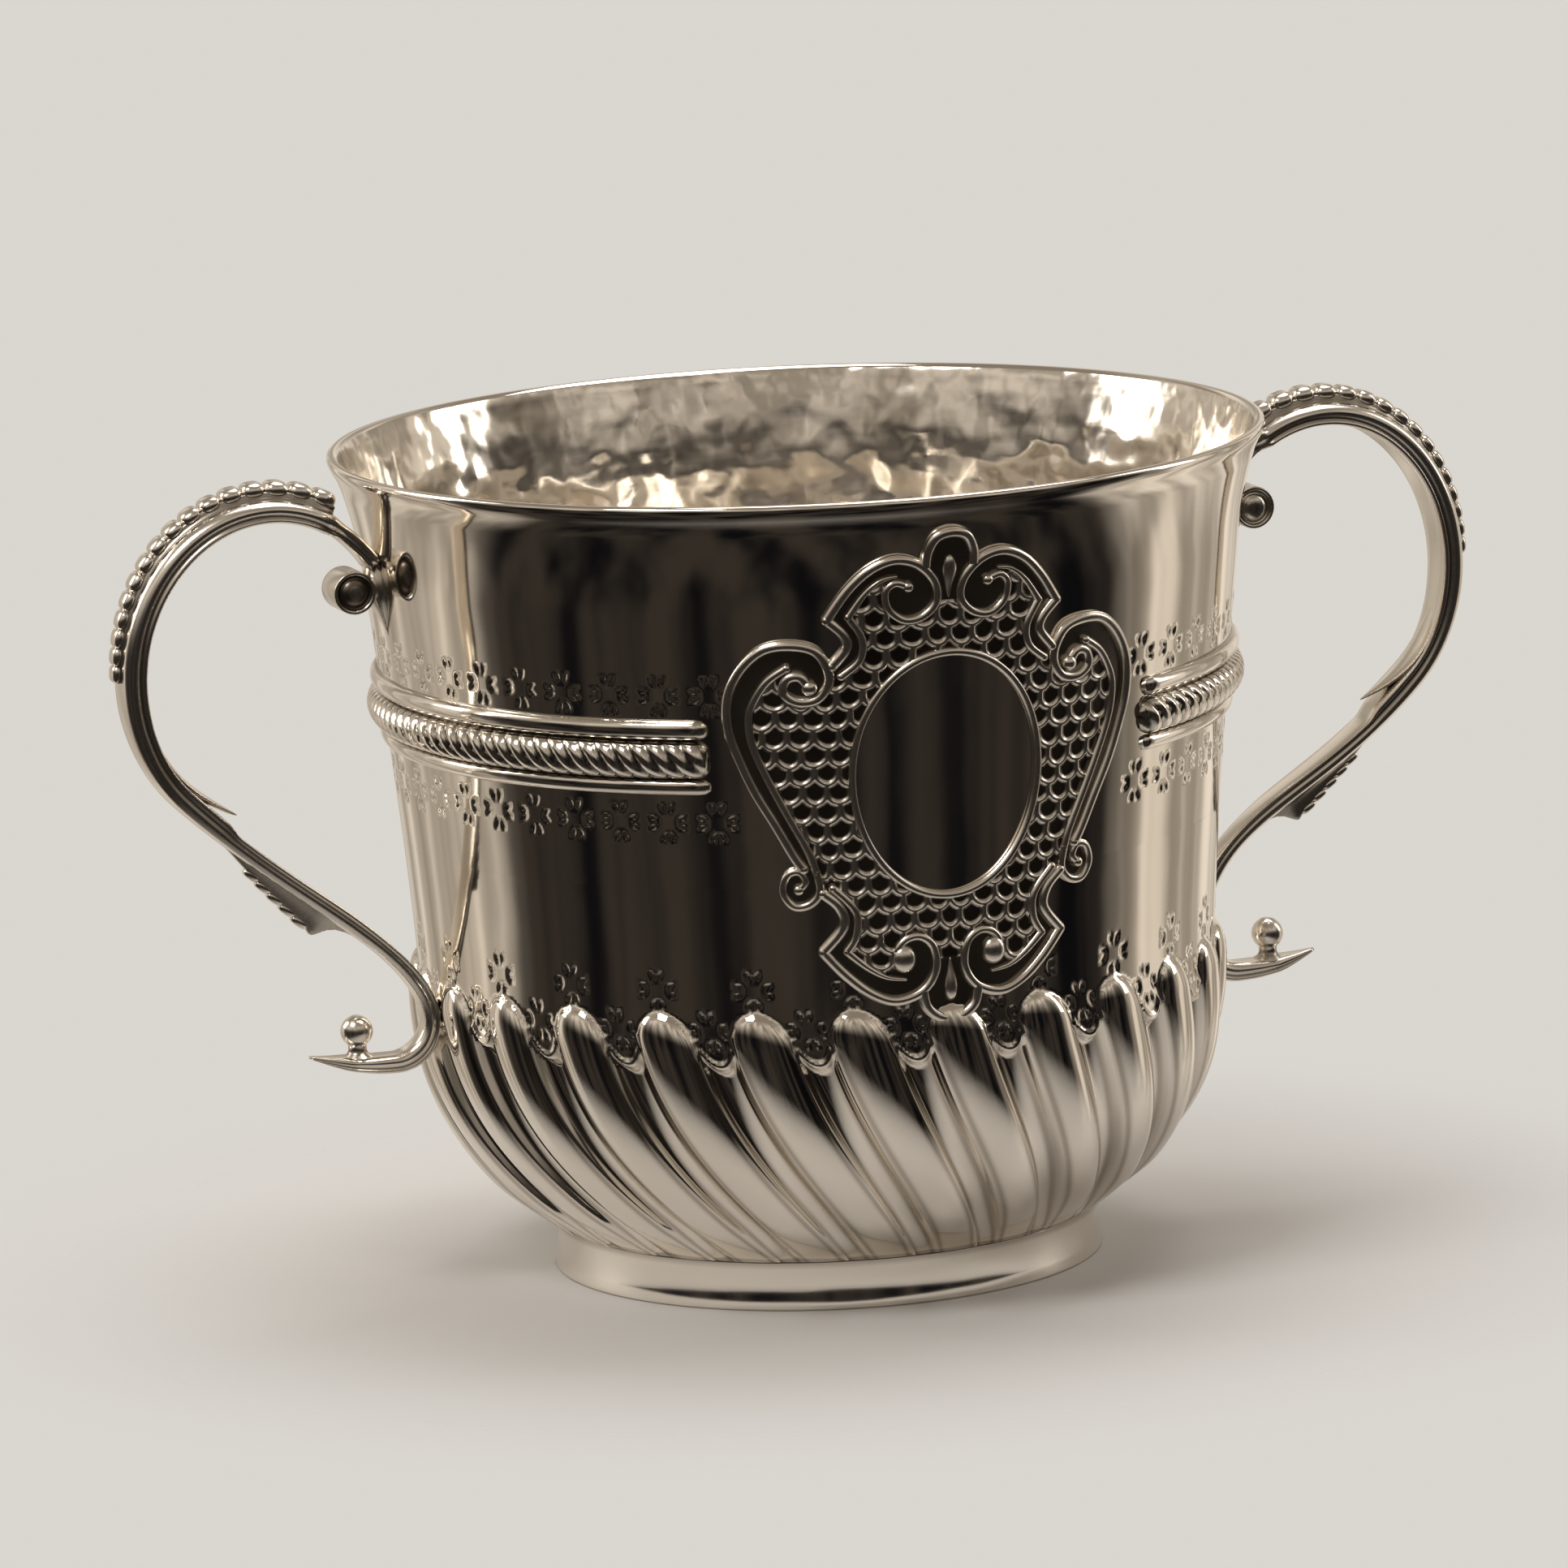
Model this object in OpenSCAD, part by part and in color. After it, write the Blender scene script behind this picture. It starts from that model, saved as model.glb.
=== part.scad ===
// Two-handled silver caudle cup: raised bowl with swirled lobes and flutes, foot ring,
// corded girdle, scroll cartouche and a pair of cast scroll handles with beaded backs.
// The foot stands on the plane z = 0, the handles lie along X and the cartouche faces -Y.

/* [Bowl] */
// Height from the table to the top of the lip
cup_h = 113; // [104:0.5:122]
// Outer radius of the lip
rim_r = 63.5; // [62:0.5:68]
// Radius of the plain wall just above the lobes
belly_r = 54.2; // [52:0.2:56]
// Outward lean of the wall from the lobes to the start of the lip
wall_lean = 5.2; // [3:0.2:7]
// Height over which the lip turns outwards
flare_h = 15; // [10:0.5:20]
// Thickness of the raised sheet
wall_t = 1.2; // [0.8:0.1:1.6]
// Radius of the bowl where it sits on the foot ring
base_r = 37.8; // [37.6:0.2:42]
// Thickness of the bowl's floor
floor_t = 1.4; // [1:0.1:2.2]

/* [Foot ring] */
// Height of the foot ring
foot_h = 6.8; // [5:0.2:9]
// Outer radius of the foot ring at the table
foot_r = 37.4; // [35:0.2:37.6]
// How far the foot ring leans in towards the bowl
foot_lean = 0.8; // [0.2:0.1:2]
// Thickness of the foot ring
foot_t = 1.5; // [1:0.1:2.5]
// Height of the plain fillet along the foot ring's lower edge
foot_fillet = 1.2; // [0.6:0.1:2.4]

/* [Lobes and flutes] */
// Number of lobes round the bowl
lobe_count = 26; // [20:1:30]
// Height of the lobes' rounded tops
lobe_top = 44; // [40:0.5:47]
// Height of the ledge at the top of each flute
flute_top = 38.5; // [34:0.5:39.5]
// Share of each lobe and flute pair that the lobe takes
lobe_share = 0.64; // [0.5:0.02:0.75]
// How far a lobe's crest stands out from the wall
lobe_rise = 0.9; // [0.4:0.1:1.4]
// How far a flute sinks into the wall
flute_depth = 1.1; // [0.4:0.1:1.4]
// Angle through which the lobes swirl on their way down
swirl = 22; // [5:1:40]
// Share of that angle which grows with the square of the way down, so that the lobes curve
swirl_curve = 0.66; // [0:0.02:0.9]

/* [Girdle] */
// Place of the cord's middle on the plain wall, from the lobes' tops at 0 to the lip at 1
cord_mid_share = 0.5015; // [0.45:0.0005:0.55]
// Height of the cord's face
cord_w = 5.2; // [4:0.2:6]
// How far the cord stands out from the wall
cord_relief = 2.2; // [1.4:0.1:3]
// Number of strands round a full turn of the cord
cord_strands = 160; // [80:1:170]
// Sideways run of one strand from the top of the cord to its bottom
strand_run = 2.6; // [1:0.1:4]
// Height of the upper reed's face
upper_reed_w = 2.8; // [2:0.2:4]
// How far the upper reed stands out from the wall
upper_reed_relief = 1.2; // [0.6:0.1:1.3]
// Height of the lower reed's face
lower_reed_w = 2.2; // [1.8:0.2:3.4]
// How far the lower reed stands out from the wall
lower_reed_relief = 0.9; // [0.5:0.1:0.9]
// Half of the angle left open for the cartouche
girdle_gap = 31.5; // [31:0.5:40]

/* [Cartouche] */
// Place of the cartouche's middle on the plain wall, from the lobes' tops at 0 to the lip at 1
cartouche_mid_share = 0.452; // [0.43:0.002:0.474]
// Half of the cartouche's width, seen from the front
cartouche_half_w = 27.6; // [24:0.2:28]
// Half of the cartouche's height, as a share of the plain wall's
cartouche_share = 0.4435; // [0.39:0.0005:0.448]
// How far the scrolls stand out from the wall
scroll_relief = 1.4; // [0.8:0.1:2]
// Width of a scroll's band
scroll_w = 2.4; // [1.6:0.1:2.8]
// Half of the oval's width
oval_half_w = 12.4; // [10:0.2:14]
// Half of the oval's height
oval_half_h = 16.2; // [13:0.2:18]
// Width of the border round the oval
oval_border_w = 1.1; // [0.8:0.1:2]
// How far the oval's border stands out from the wall
oval_relief = 0.8; // [0.5:0.1:1.4]

/* [Handles] */
// Distance of the loop's middle from the belly wall
loop_out = 21.3; // [19:0.2:24]
// Place of the loop's middle on the plain wall, from the lobes' tops at 0 to the lip at 1
loop_mid_share = 0.623; // [0.58:0.001:0.64]
// Half of the loop's breadth, to the middle of the strap
loop_half_w = 18.8; // [17.5:0.2:20]
// Half of the loop's height, to the middle of the strap, as a share of the plain wall's
loop_share = 0.3043; // [0.28:0.0001:0.33]
// Thickness of the strap at the loop
strap_t = 2.6; // [2:0.1:3.2]
// Width of the strap at the top of the loop
strap_w = 8.4; // [6:0.2:10]
// Height at which the lower arm touches the wall
lower_joint_z = 41; // [39.5:0.5:43]
// Radius of the lower curl, to the middle of the strap
curl_r = 5.4; // [4.6:0.2:6.4]
// Length of the leaf beyond the bottom of the curl
leaf_len = 11.6; // [10:0.2:14]
// Rise of the leaf's tip above the bottom of the curl
leaf_rise = 1.8; // [0.6:0.2:3]
// Height of the spur inside the loop's lower end
spur_h = 1.9; // [0.8:0.1:2.6]

/* [Handle beads and knobs] */
// Number of beads on the upper strip
bead_count = 16; // [10:1:18]
// Width of the upper bead strip
bead_strip_w = 4.4; // [3:0.2:5]
// Thickness of the bead strips
bead_strip_t = 0.9; // [0.6:0.1:1.4]
// Number of beads on the lower strip
lower_bead_count = 5; // [3:1:6]
// Width of the lower bead strip
lower_strip_w = 2.6; // [2:0.2:3.4]
// Radius of the volute under the upper joint
volute_r = 2.7; // [2:0.1:3]
// Length of the volute across the handle
volute_w = 6.2; // [4:0.2:8]
// Radius of the ball on the lower curl
ball_r = 2.2; // [1.6:0.1:2.6]
// Height of the neck under the ball
ball_neck_h = 1.3; // [0.8:0.1:2]

/* [Hidden] */
$fn = 64;

silver = "#d8d2c4";
bright_silver = "#ebe6da";
dark_silver = "#a8a196";

// Space left between a soldered piece and the wall that it lies on
seat_gap = 0.05;
// Front of the cup as an angle from +X
front = -90;
// Half-width of the slice used when a slope is measured
slope_step = 0.1;

// Drop from the lobes' tops to the height where the plain wall begins to round in
belly_drop = 2;
belly_z = lobe_top - belly_drop;
flare_z = cup_h - flare_h;
lean_power = 1.25;
bowl_round = 2.6;
lean_at_top = wall_lean * pow((cup_h - belly_z) / (flare_z - belly_z), lean_power);
lip_flare = rim_r - belly_r - lean_at_top;

function mix(a, b, t) = a + (b - a) * t;
// Height at a place on the plain wall between the lobes' tops and the lip
function on_plain(place) = mix(lobe_top, cup_h, place);
function clamp01(x) = min(1, max(0, x));
function smooth01(x) = clamp01(x) * clamp01(x) * (3 - 2 * clamp01(x));

// Radius of the plain wall at height z, without lobes or flutes
function lower_r(z) = belly_r - (belly_r - base_r) * pow((belly_z - z) / (belly_z - foot_h), bowl_round);
function upper_r(z) = belly_r + wall_lean * pow((z - belly_z) / (flare_z - belly_z), lean_power)
    + lip_flare * pow(max(0, z - flare_z) / flare_h, 2);
function wall_r(z) = z < belly_z ? lower_r(max(z, foot_h)) : upper_r(min(z, cup_h));
function wall_slope(z) = (wall_r(z + slope_step) - wall_r(z - slope_step)) / (2 * slope_step);
// Distance from the YZ plane to the wall at height z, a distance y off the handles' plane
function wall_x(z, y) = sqrt(pow(wall_r(z) + seat_gap, 2) - y * y);

// Lobes and flutes: each pair fills one pitch, u runs from 0 to 1 across it
lobe_pitch = 360 / lobe_count;
lobe_start = front - lobe_pitch * lobe_share / 2;
lobe_round = 5;
flute_round = 2.2;
foot_fade = 9;
// Places across a pair: the lobe's edge, three on the lobe, its other edge and the flute's middle
fluted_u = [0, lobe_share / 4, lobe_share / 2, lobe_share * 3 / 4, lobe_share, (1 + lobe_share) / 2];
plain_u = [0, lobe_share / 2, lobe_share];
function arch(x) = 1 - pow(2 * x - 1, 2);
function relief(u, z) = smooth01((z - foot_h) / foot_fade) * (u <= lobe_share
    ? lobe_rise * smooth01((lobe_top - z) / lobe_round) * arch(u / lobe_share)
    : -flute_depth * smooth01((flute_top - z) / flute_round) * arch((u - lobe_share) / (1 - lobe_share)));
function swirl_at(z) = let (s = max(0, lobe_top - z) / (lobe_top - foot_h))
    swirl * s * (1 - swirl_curve + swirl_curve * s);

// One ring of the bowl: every pair's places at height z, set in from the outside by depth
function bowl_ring(z, places, depth) = [
    for (k = [0 : lobe_count - 1], u = places)
        let (m = wall_slope(z),
             n = 1 / sqrt(1 + m * m),
             a = lobe_start + swirl_at(z) + lobe_pitch * (k + u),
             r = wall_r(z) + relief(u, z) - depth * n)
        [r * cos(a), r * sin(a), z + depth * m * n]
];
function plain_ring(r, z, places, turn) = [
    for (k = [0 : lobe_count - 1], u = places)
        let (a = lobe_start + turn + lobe_pitch * (k + u)) [r * cos(a), r * sin(a), z]
];

// Faces of a closed skin through rings of equal, halved or doubled counts
function band(a, na, b, nb) =
    na == nb ? [for (i = [0 : na - 1]) each let (j = (i + 1) % na)
        [[a + i, b + i, b + j], [a + i, b + j, a + j]]]
    : na > nb ? [for (j = [0 : nb - 1]) each let (i = 2 * j, k = (i + 2) % na, l = (j + 1) % nb)
        [[a + i, b + j, a + i + 1], [a + i + 1, b + j, b + l], [a + i + 1, b + l, a + k]]]
    : [for (i = [0 : na - 1]) each let (j = 2 * i, k = (j + 2) % nb, l = (i + 1) % na)
        [[a + i, b + j, b + j + 1], [a + i, b + j + 1, a + l], [a + l, b + j + 1, b + k]]];
function first_of(rings, k) = k == 0 ? 0 : first_of(rings, k - 1) + len(rings[k - 1]);

// Skin through the rings, closed by a fan to a middle point at each end
module ring_skin(rings, first_mid, last_mid) {
    starts = [for (k = [0 : len(rings) - 1]) first_of(rings, k)];
    points = concat([for (ring = rings) each ring], [first_mid, last_mid]);
    count = len(points);
    last = len(rings) - 1;
    n0 = len(rings[0]);
    n1 = len(rings[last]);
    sides = [for (k = [0 : last - 1]) each band(starts[k], len(rings[k]), starts[k + 1], len(rings[k + 1]))];
    first_fan = [for (i = [0 : n0 - 1]) [count - 2, i, (i + 1) % n0]];
    last_fan = [for (i = [0 : n1 - 1]) [count - 1, starts[last] + (i + 1) % n1, starts[last] + i]];
    polyhedron(points, concat(sides, first_fan, last_fan), convexity = 10);
}

// The lip's rounded edge: distance in from the rim, and down from the top
lip_edge = [[0.7, 2.4], [0.1, 1.2], [0.3, 0.3], [1, 0], [1.8, 0.4], [2, 1.6]];
plain_rise = 1.5;
plain_from = lobe_top + plain_rise;
floor_inset = 2;
floor_z = foot_h + floor_t;
floor_r = base_r - floor_inset;

module bowl() {
    fluted_z = concat(
        [for (t = [0, 0.06, 0.16, 0.3, 0.48, 0.68, 0.85]) mix(foot_h, flute_top - flute_round, t)],
        [flute_top - flute_round, flute_top - flute_round / 2, flute_top],
        [for (t = [0.35, 0.75]) mix(flute_top, lobe_top, t)],
        [plain_from]);
    plain_z = concat([for (t = [0.25, 0.5, 0.75, 1]) mix(plain_from, flare_z, t)],
        [for (t = [0.35, 0.6]) mix(flare_z, cup_h, t)]);
    inner_z = [for (t = [1, 0.85, 0.68, 0.48, 0.3, 0.16]) mix(foot_h, flute_top - flute_round, t)];
    rings = concat(
        [for (z = fluted_z) bowl_ring(z, fluted_u, 0)],
        [for (z = plain_z) bowl_ring(z, plain_u, 0)],
        [for (e = lip_edge) plain_ring(rim_r - e[0], cup_h - e[1], plain_u, 0)],
        [for (t = [0.55, 0.25]) bowl_ring(mix(flare_z, cup_h, t), plain_u, wall_t)],
        [for (t = [1, 0.6, 0]) bowl_ring(mix(plain_from, flare_z, t), plain_u, wall_t)],
        [bowl_ring(lobe_top, fluted_u, wall_t), bowl_ring(flute_top, fluted_u, wall_t)],
        [for (z = inner_z) bowl_ring(z, fluted_u, wall_t)],
        [plain_ring(floor_r, floor_z, fluted_u, swirl)]);
    color(silver) ring_skin(rings, [0, 0, foot_h], [0, 0, floor_z]);
}

module foot_ring() {
    top_r = foot_r - foot_lean;
    color(silver) rotate_extrude() polygon([
        [foot_r - foot_t, 0],
        [foot_r, 0],
        [foot_r, foot_fillet],
        [top_r, foot_fillet + foot_lean],
        [top_r, foot_h],
        [top_r - foot_t, foot_h]
    ]);
}

// Girdle
girdle_span = 360 - 2 * girdle_gap;
cord_z = on_plain(cord_mid_share);
upper_reed_z = cord_z + cord_w / 2 + upper_reed_w / 2;
lower_reed_z = cord_z - cord_w / 2 - lower_reed_w / 2;

// Half-round wire bent along the wall, from one side of the cartouche round to the other
module reed(z, w, out) {
    wire_r = (out * out + w * w / 4) / (2 * out);
    rotate([0, 0, front + girdle_gap]) rotate_extrude(angle = girdle_span) difference() {
        translate([wall_r(z) + seat_gap + out - wire_r, z]) circle(wire_r);
        polygon([
            [0, z - 2 * wire_r],
            [wall_r(z - w) + seat_gap, z - 2 * wire_r],
            [wall_r(z - w) + seat_gap, z - w],
            [wall_r(z + w) + seat_gap, z + w],
            [wall_r(z + w) + seat_gap, z + 2 * wire_r],
            [0, z + 2 * wire_r]
        ]);
    }
}

module girdle_upper_reed() {
    color(bright_silver) reed(upper_reed_z, upper_reed_w, upper_reed_relief);
}

module girdle_lower_reed() {
    color(bright_silver) reed(lower_reed_z, lower_reed_w, lower_reed_relief);
}

// Skin through open rings of equal counts, with a flat fan over each end
module sweep_skin(rings) {
    n = len(rings[0]);
    last = len(rings) - 1;
    sides = [for (k = [0 : last - 1], i = [0 : n - 1]) each let (a = k * n, b = a + n, j = (i + 1) % n)
        [[a + i, b + i, b + j], [a + i, b + j, a + j]]];
    first_cap = [for (i = [1 : n - 2]) [0, i, i + 1]];
    last_cap = [for (i = [1 : n - 2]) [last * n, last * n + i + 1, last * n + i]];
    polyhedron([for (ring = rings) each ring], concat(sides, first_cap, last_cap), convexity = 10);
}

// Twisted cord: rings alternate between a strand's ridge and the groove beside it, and lean with the twist
module girdle_cord() {
    groove_share = 0.68;
    shoulder = 0.52;
    strands_open = round(cord_strands * girdle_span / 360);
    rings = [
        for (k = [0 : 2 * strands_open])
            let (share = k % 2 == 0 ? groove_share : 1,
                 a = front + girdle_gap + girdle_span * k / (2 * strands_open))
            [for (e = [[-1, 0], [1, 0], [shoulder, 1], [-shoulder, 1]])
                let (z = cord_z + e[0] * cord_w / 2,
                     r = wall_r(z) + seat_gap + e[1] * cord_relief * share,
                     t = a - e[0] * strand_run / 2 / r * 180 / PI)
                [r * cos(t), r * sin(t), z]]
    ];
    color(bright_silver) sweep_skin(rings);
}

// Cartouche, drawn on a front plane in shares of its half width and half height
cartouche_z = on_plain(cartouche_mid_share);
cartouche_half_h = cartouche_share * (cup_h - lobe_top);
function on_front(p) = [p[0] * cartouche_half_w, cartouche_z + p[1] * cartouche_half_h];
// Curve through hand-placed points, with steps pieces between each pair
function curve_at(p, k, t) =
    let (a = p[max(k - 1, 0)], b = p[k], c = p[k + 1], d = p[min(k + 2, len(p) - 1)])
    0.5 * (2 * b + (c - a) * t + (2 * a - 5 * b + 4 * c - d) * t * t + (3 * b - a - 3 * c + d) * t * t * t);
function curve(p, steps) = [for (k = [0 : len(p) - 2], i = [0 : steps - 1]) curve_at(p, k, i / steps),
    p[len(p) - 1]];
function unit(v) = v / norm(v);
function side_of(p, k) = let (t = unit(p[min(k + 1, len(p) - 1)] - p[max(k - 1, 0)])) [-t[1], t[0]];
// Volute as points on a spiral about c, in shares, from radius r0 at angle a0 to r1 at a1
function spiral(c, r0, r1, a0, a1, n) = [for (i = [0 : n])
    let (r = mix(r0, r1, i / n), a = mix(a0, a1, i / n)) [c[0] + r * cos(a), c[1] + r * sin(a)]];

// Scrolls of the right half: each ends in a volute, and its band narrows towards that end
top_scroll = concat([[0.56, 0.71], [0.46, 0.85], [0.34, 0.94]], spiral([0.2, 0.81], 0.155, 0.06, 70, 420, 9));
shoulder_notch = [[0.56, 0.71], [0.485, 0.62], [0.51, 0.54], [0.6, 0.47]];
side_scroll = concat(spiral([0.67, 0.45], 0.05, 0.14, 450, 90, 9),
    [[0.82, 0.58], [0.92, 0.46], [0.96, 0.32], [0.92, 0.12], [0.83, -0.12], [0.71, -0.34]],
    spiral([0.72, -0.465], 0.085, 0.045, 165, 470, 6));
lower_notch = [[0.67, -0.46], [0.54, -0.55], [0.51, -0.65], [0.62, -0.76]];
bottom_scroll = concat([[0.62, -0.76], [0.47, -0.89], [0.32, -0.955]],
    spiral([0.205, -0.8], 0.16, 0.06, -60, -400, 9));
top_bud = [[0.08, 0.86], [0.13, 0.97], [0, 1.06], [-0.13, 0.97], [-0.08, 0.86]];
bottom_bud = [[0.1, -0.93], [0.11, -1.02], [0, -1.08], [-0.11, -1.02], [-0.1, -0.93]];
curve_count = 2;
// Widths of the narrower bands, as shares of a full scroll's
tip_share = 0.45;
side_share = 0.65;
notch_share = 0.8;
bud_share = 0.7;

// Flat band along hand-placed points, from width w0 at its start to w1 at its end
module scroll_band(shares, w0, w1) {
    line = [for (p = curve(shares, curve_count)) on_front(p)];
    last = len(line) - 1;
    polygon(concat(
        [for (k = [0 : last]) line[k] + side_of(line, k) * mix(w0, w1, k / last) / 2],
        [for (k = [last : -1 : 0]) line[k] - side_of(line, k) * mix(w0, w1, k / last) / 2]));
}

module half_frame() {
    scroll_band(top_scroll, scroll_w, scroll_w * tip_share);
    scroll_band(shoulder_notch, scroll_w * notch_share, scroll_w * notch_share);
    scroll_band(side_scroll, scroll_w * side_share, scroll_w * side_share);
    scroll_band(lower_notch, scroll_w * notch_share, scroll_w * notch_share);
    scroll_band(bottom_scroll, scroll_w, scroll_w * tip_share);
}

// Part of a drawn outline that lies within a shell of the given relief on the wall's front
module on_wall(out) {
    margin_share = 1.2;
    low = cartouche_z - margin_share * cartouche_half_h;
    high = cartouche_z + margin_share * cartouche_half_h;
    steps = 12;
    levels = [for (i = [0 : steps]) mix(low, high, i / steps)];
    intersection() {
        rotate_extrude() polygon(concat(
            [for (z = levels) [wall_r(z) + seat_gap, z]],
            [for (i = [steps : -1 : 0]) [wall_r(levels[i]) + seat_gap + out, levels[i]]]));
        translate([0, -belly_r / 2, 0]) rotate([90, 0, 0]) linear_extrude(rim_r) children();
    }
}

module cartouche_frame() {
    join = 0.01;
    color(bright_silver) on_wall(scroll_relief) offset(delta = join) {
        half_frame();
        mirror([1, 0]) half_frame();
        scroll_band(top_bud, scroll_w * bud_share, scroll_w * bud_share);
        scroll_band(bottom_bud, scroll_w * bud_share, scroll_w * bud_share);
    }
}

module oval_outline(grow) {
    steps = 48;
    polygon([for (i = [0 : steps - 1]) let (a = 360 * i / steps)
        [(oval_half_w + grow) * cos(a), cartouche_z + (oval_half_h + grow) * sin(a)]]);
}

module oval_border() {
    color(bright_silver) on_wall(oval_relief) difference() {
        oval_outline(oval_border_w);
        oval_outline(0);
    }
}

// Handle path in its own plane: distance from the axis, and height.
// u runs 0 to 1 over the loop, to 2 down the arm, to 3 round the curl and to 4 along the leaf.
loop_mid = [belly_r + loop_out, on_plain(loop_mid_share)];
loop_half_h = loop_share * (cup_h - lobe_top);
loop_end = -48;
// Share of the strap's thickness between the wall and the middle line where the curl touches
touch_share = 0.43;
curl_drop = 3;
curl_left = wall_r(lower_joint_z) + seat_gap + strap_t * touch_share;
curl_mid = [curl_left + curl_r, lower_joint_z - curl_drop];
curl_bottom = curl_mid - [0, curl_r];
arm_lead = 24;
arm_drop = 8;

function on_loop(a) = loop_mid + [loop_half_w * cos(a), loop_half_h * sin(a)];
// Angle on the loop where its middle line meets the wall
function meet(a, n) = n == 0 ? a
    : meet(acos(clamp_cos((wall_r(on_loop(a)[1]) - loop_mid[0]) / loop_half_w)), n - 1);
function clamp_cos(x) = max(-0.98, min(0.98, x));
meet_angle = 144;
meet_count = 8;
loop_start = meet(meet_angle, meet_count);
arm_from = on_loop(loop_end);
arm_dir = unit([loop_half_w * sin(loop_end), -loop_half_h * cos(loop_end)]);
arm_to = [curl_left, curl_mid[1]];
function bezier3(a, b, c, d, t) =
    a * pow(1 - t, 3) + b * 3 * t * pow(1 - t, 2) + c * 3 * t * t * (1 - t) + d * pow(t, 3);
function bezier2(a, b, c, t) = a * pow(1 - t, 2) + b * 2 * t * (1 - t) + c * t * t;
function path(u) =
    u <= 1 ? on_loop(mix(loop_start, loop_end, u))
    : u <= 2 ? bezier3(arm_from, arm_from + arm_lead * arm_dir, arm_to + [0, arm_drop], arm_to, u - 1)
    : u <= 3 ? curl_mid + curl_r * [cos(mix(180, 270, u - 2)), sin(mix(180, 270, u - 2))]
    : bezier2(curl_bottom, curl_bottom + [leaf_len * 0.48, 0], curl_bottom + [leaf_len, leaf_rise], u - 3);
path_step = 0.004;
function path_dir(u) = unit(path(min(u + path_step, 4)) - path(max(u - path_step, 0)));
// Outward side of the strap: its back, where the beads lie
function path_out(u) = let (t = path_dir(u)) [-t[1], t[0]];
// Thickness and width along the path, as shares of the strap's full ones
thick_shares = [[0, 1], [1, 0.92], [1.6, 0.75], [2, 0.84], [2.6, 0.95], [3.3, 0.75], [4, 0.2]];
wide_shares = [[0, 0.9], [0.3, 1], [0.6, 0.9], [1, 0.7], [1.5, 0.5],
    [2, 0.46], [3, 0.54], [3.5, 0.6], [4, 0.1]];
function strap_thick(u) = strap_t * lookup(u, thick_shares);
function strap_wide(u) = strap_w * lookup(u, wide_shares);
spur_from = 0.92;
spur_tip = 1.105;
spur_back = 1.125;
function spur(u) = spur_h * lookup(u, [[spur_from, 0], [spur_tip, 1], [spur_back, 0]]);

// Point of the strap beside the path: out from the path's middle line, and across the handle
function strap_point(u, out, across) =
    let (p = path(u) + path_out(u) * out) [max(p[0], wall_x(p[1], across)), across, p[1]];
// Moulded section: a reed along each edge, a groove down each side and a flat back and front
function strap_ring(u) =
    let (h = strap_thick(u), w = strap_wide(u), low = h / 2 + spur(u))
    [for (e = [[-low, -0.3], [-0.5 * low, -0.5], [0, -0.42], [0.28 * h, -0.5], [0.5 * h, -0.34],
               [0.5 * h, 0.34], [0.28 * h, 0.5], [0, 0.42], [-0.5 * low, 0.5], [-low, 0.3]])
        strap_point(u, e[0], e[1] * w)];
// The strap's upper end, run back along its own direction until it lies on the wall
function seat_run(p, t, n) = n == 0 ? p
    : seat_run(p + t * ((wall_x(p[2], p[1]) - p[0]) / t[0]), t, n - 1);
function seat_ring(u) =
    let (t = path_dir(u), d = [t[0], 0, t[1]], h = strap_thick(u), w = strap_wide(u))
    [for (e = [[-0.5, -0.3], [-0.25, -0.5], [0, -0.42], [0.28, -0.5], [0.5, -0.34],
               [0.5, 0.34], [0.28, 0.5], [0, 0.42], [-0.25, 0.5], [-0.5, 0.3]])
        let (p = path(u) + path_out(u) * e[0] * h) seat_run([p[0], e[1] * w, p[1]], d, 6)];

// First place on the path that is clear of the wall
first_u = 0.06;

module handle() {
    strap_u = concat(
        [for (i = [0 : 14]) mix(first_u, spur_from, i / 14)],
        [1, 1.055, spur_tip, spur_back],
        [for (t = [0.2, 0.3, 0.42, 0.56, 0.7, 0.82, 0.92]) 1 + t],
        [for (i = [0 : 5]) 2 + i / 5],
        [3.25, 3.5, 3.75, 4]);
    sweep_skin(concat([seat_ring(first_u)], [for (u = strap_u) strap_ring(u)]));
}

// Strip along the strap's back from u0 to u1, swelling into graduated beads.
// A positive grade makes the beads larger towards the strip's start.
bead_swell = [[0, 0.15], [0.28, 0.9], [0.72, 0.9]];
module beads_on_strip(u0, u1, count, wide, thin0, thin1, grade) {
    function cut(i) = let (x = i / count) mix(u0, u1, x + grade * x * (1 - x));
    function back(u) = strap_thick(u) / 2 + seat_gap;
    function bead_h(i) = norm(path(cut(i + 0.5)) - path(cut(i - 0.5))) / 2;
    function ring(i, swell) =
        let (u = cut(i), b = back(u), top = b + mix(thin0, thin1, i / count), high = top + bead_h(i) * swell)
        [for (e = [[b, -0.5], [top, -0.44], [high, -0.22], [high, 0.22], [top, 0.44], [b, 0.5]])
            strap_point(u, e[0], e[1] * wide)];
    sweep_skin(concat(
        [for (k = [0 : count - 1], e = bead_swell) ring(k + e[0], e[1])],
        [ring(count, bead_swell[0][1])]));
}

module bead_strip() {
    from_u = 0.15;
    to_u = 0.74;
    tail_t = bead_strip_t * 0.8;
    grade = 0.22;
    beads_on_strip(from_u, to_u, bead_count, bead_strip_w, bead_strip_t, tail_t, grade);
}

module lower_bead_strip() {
    from_u = 1.13;
    to_u = 1.36;
    thin_t = bead_strip_t * 0.4;
    cusp_t = bead_strip_t * 1.3;
    grade = -0.3;
    beads_on_strip(from_u, to_u, lower_bead_count, lower_strip_w, thin_t, cusp_t, grade);
}

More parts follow.
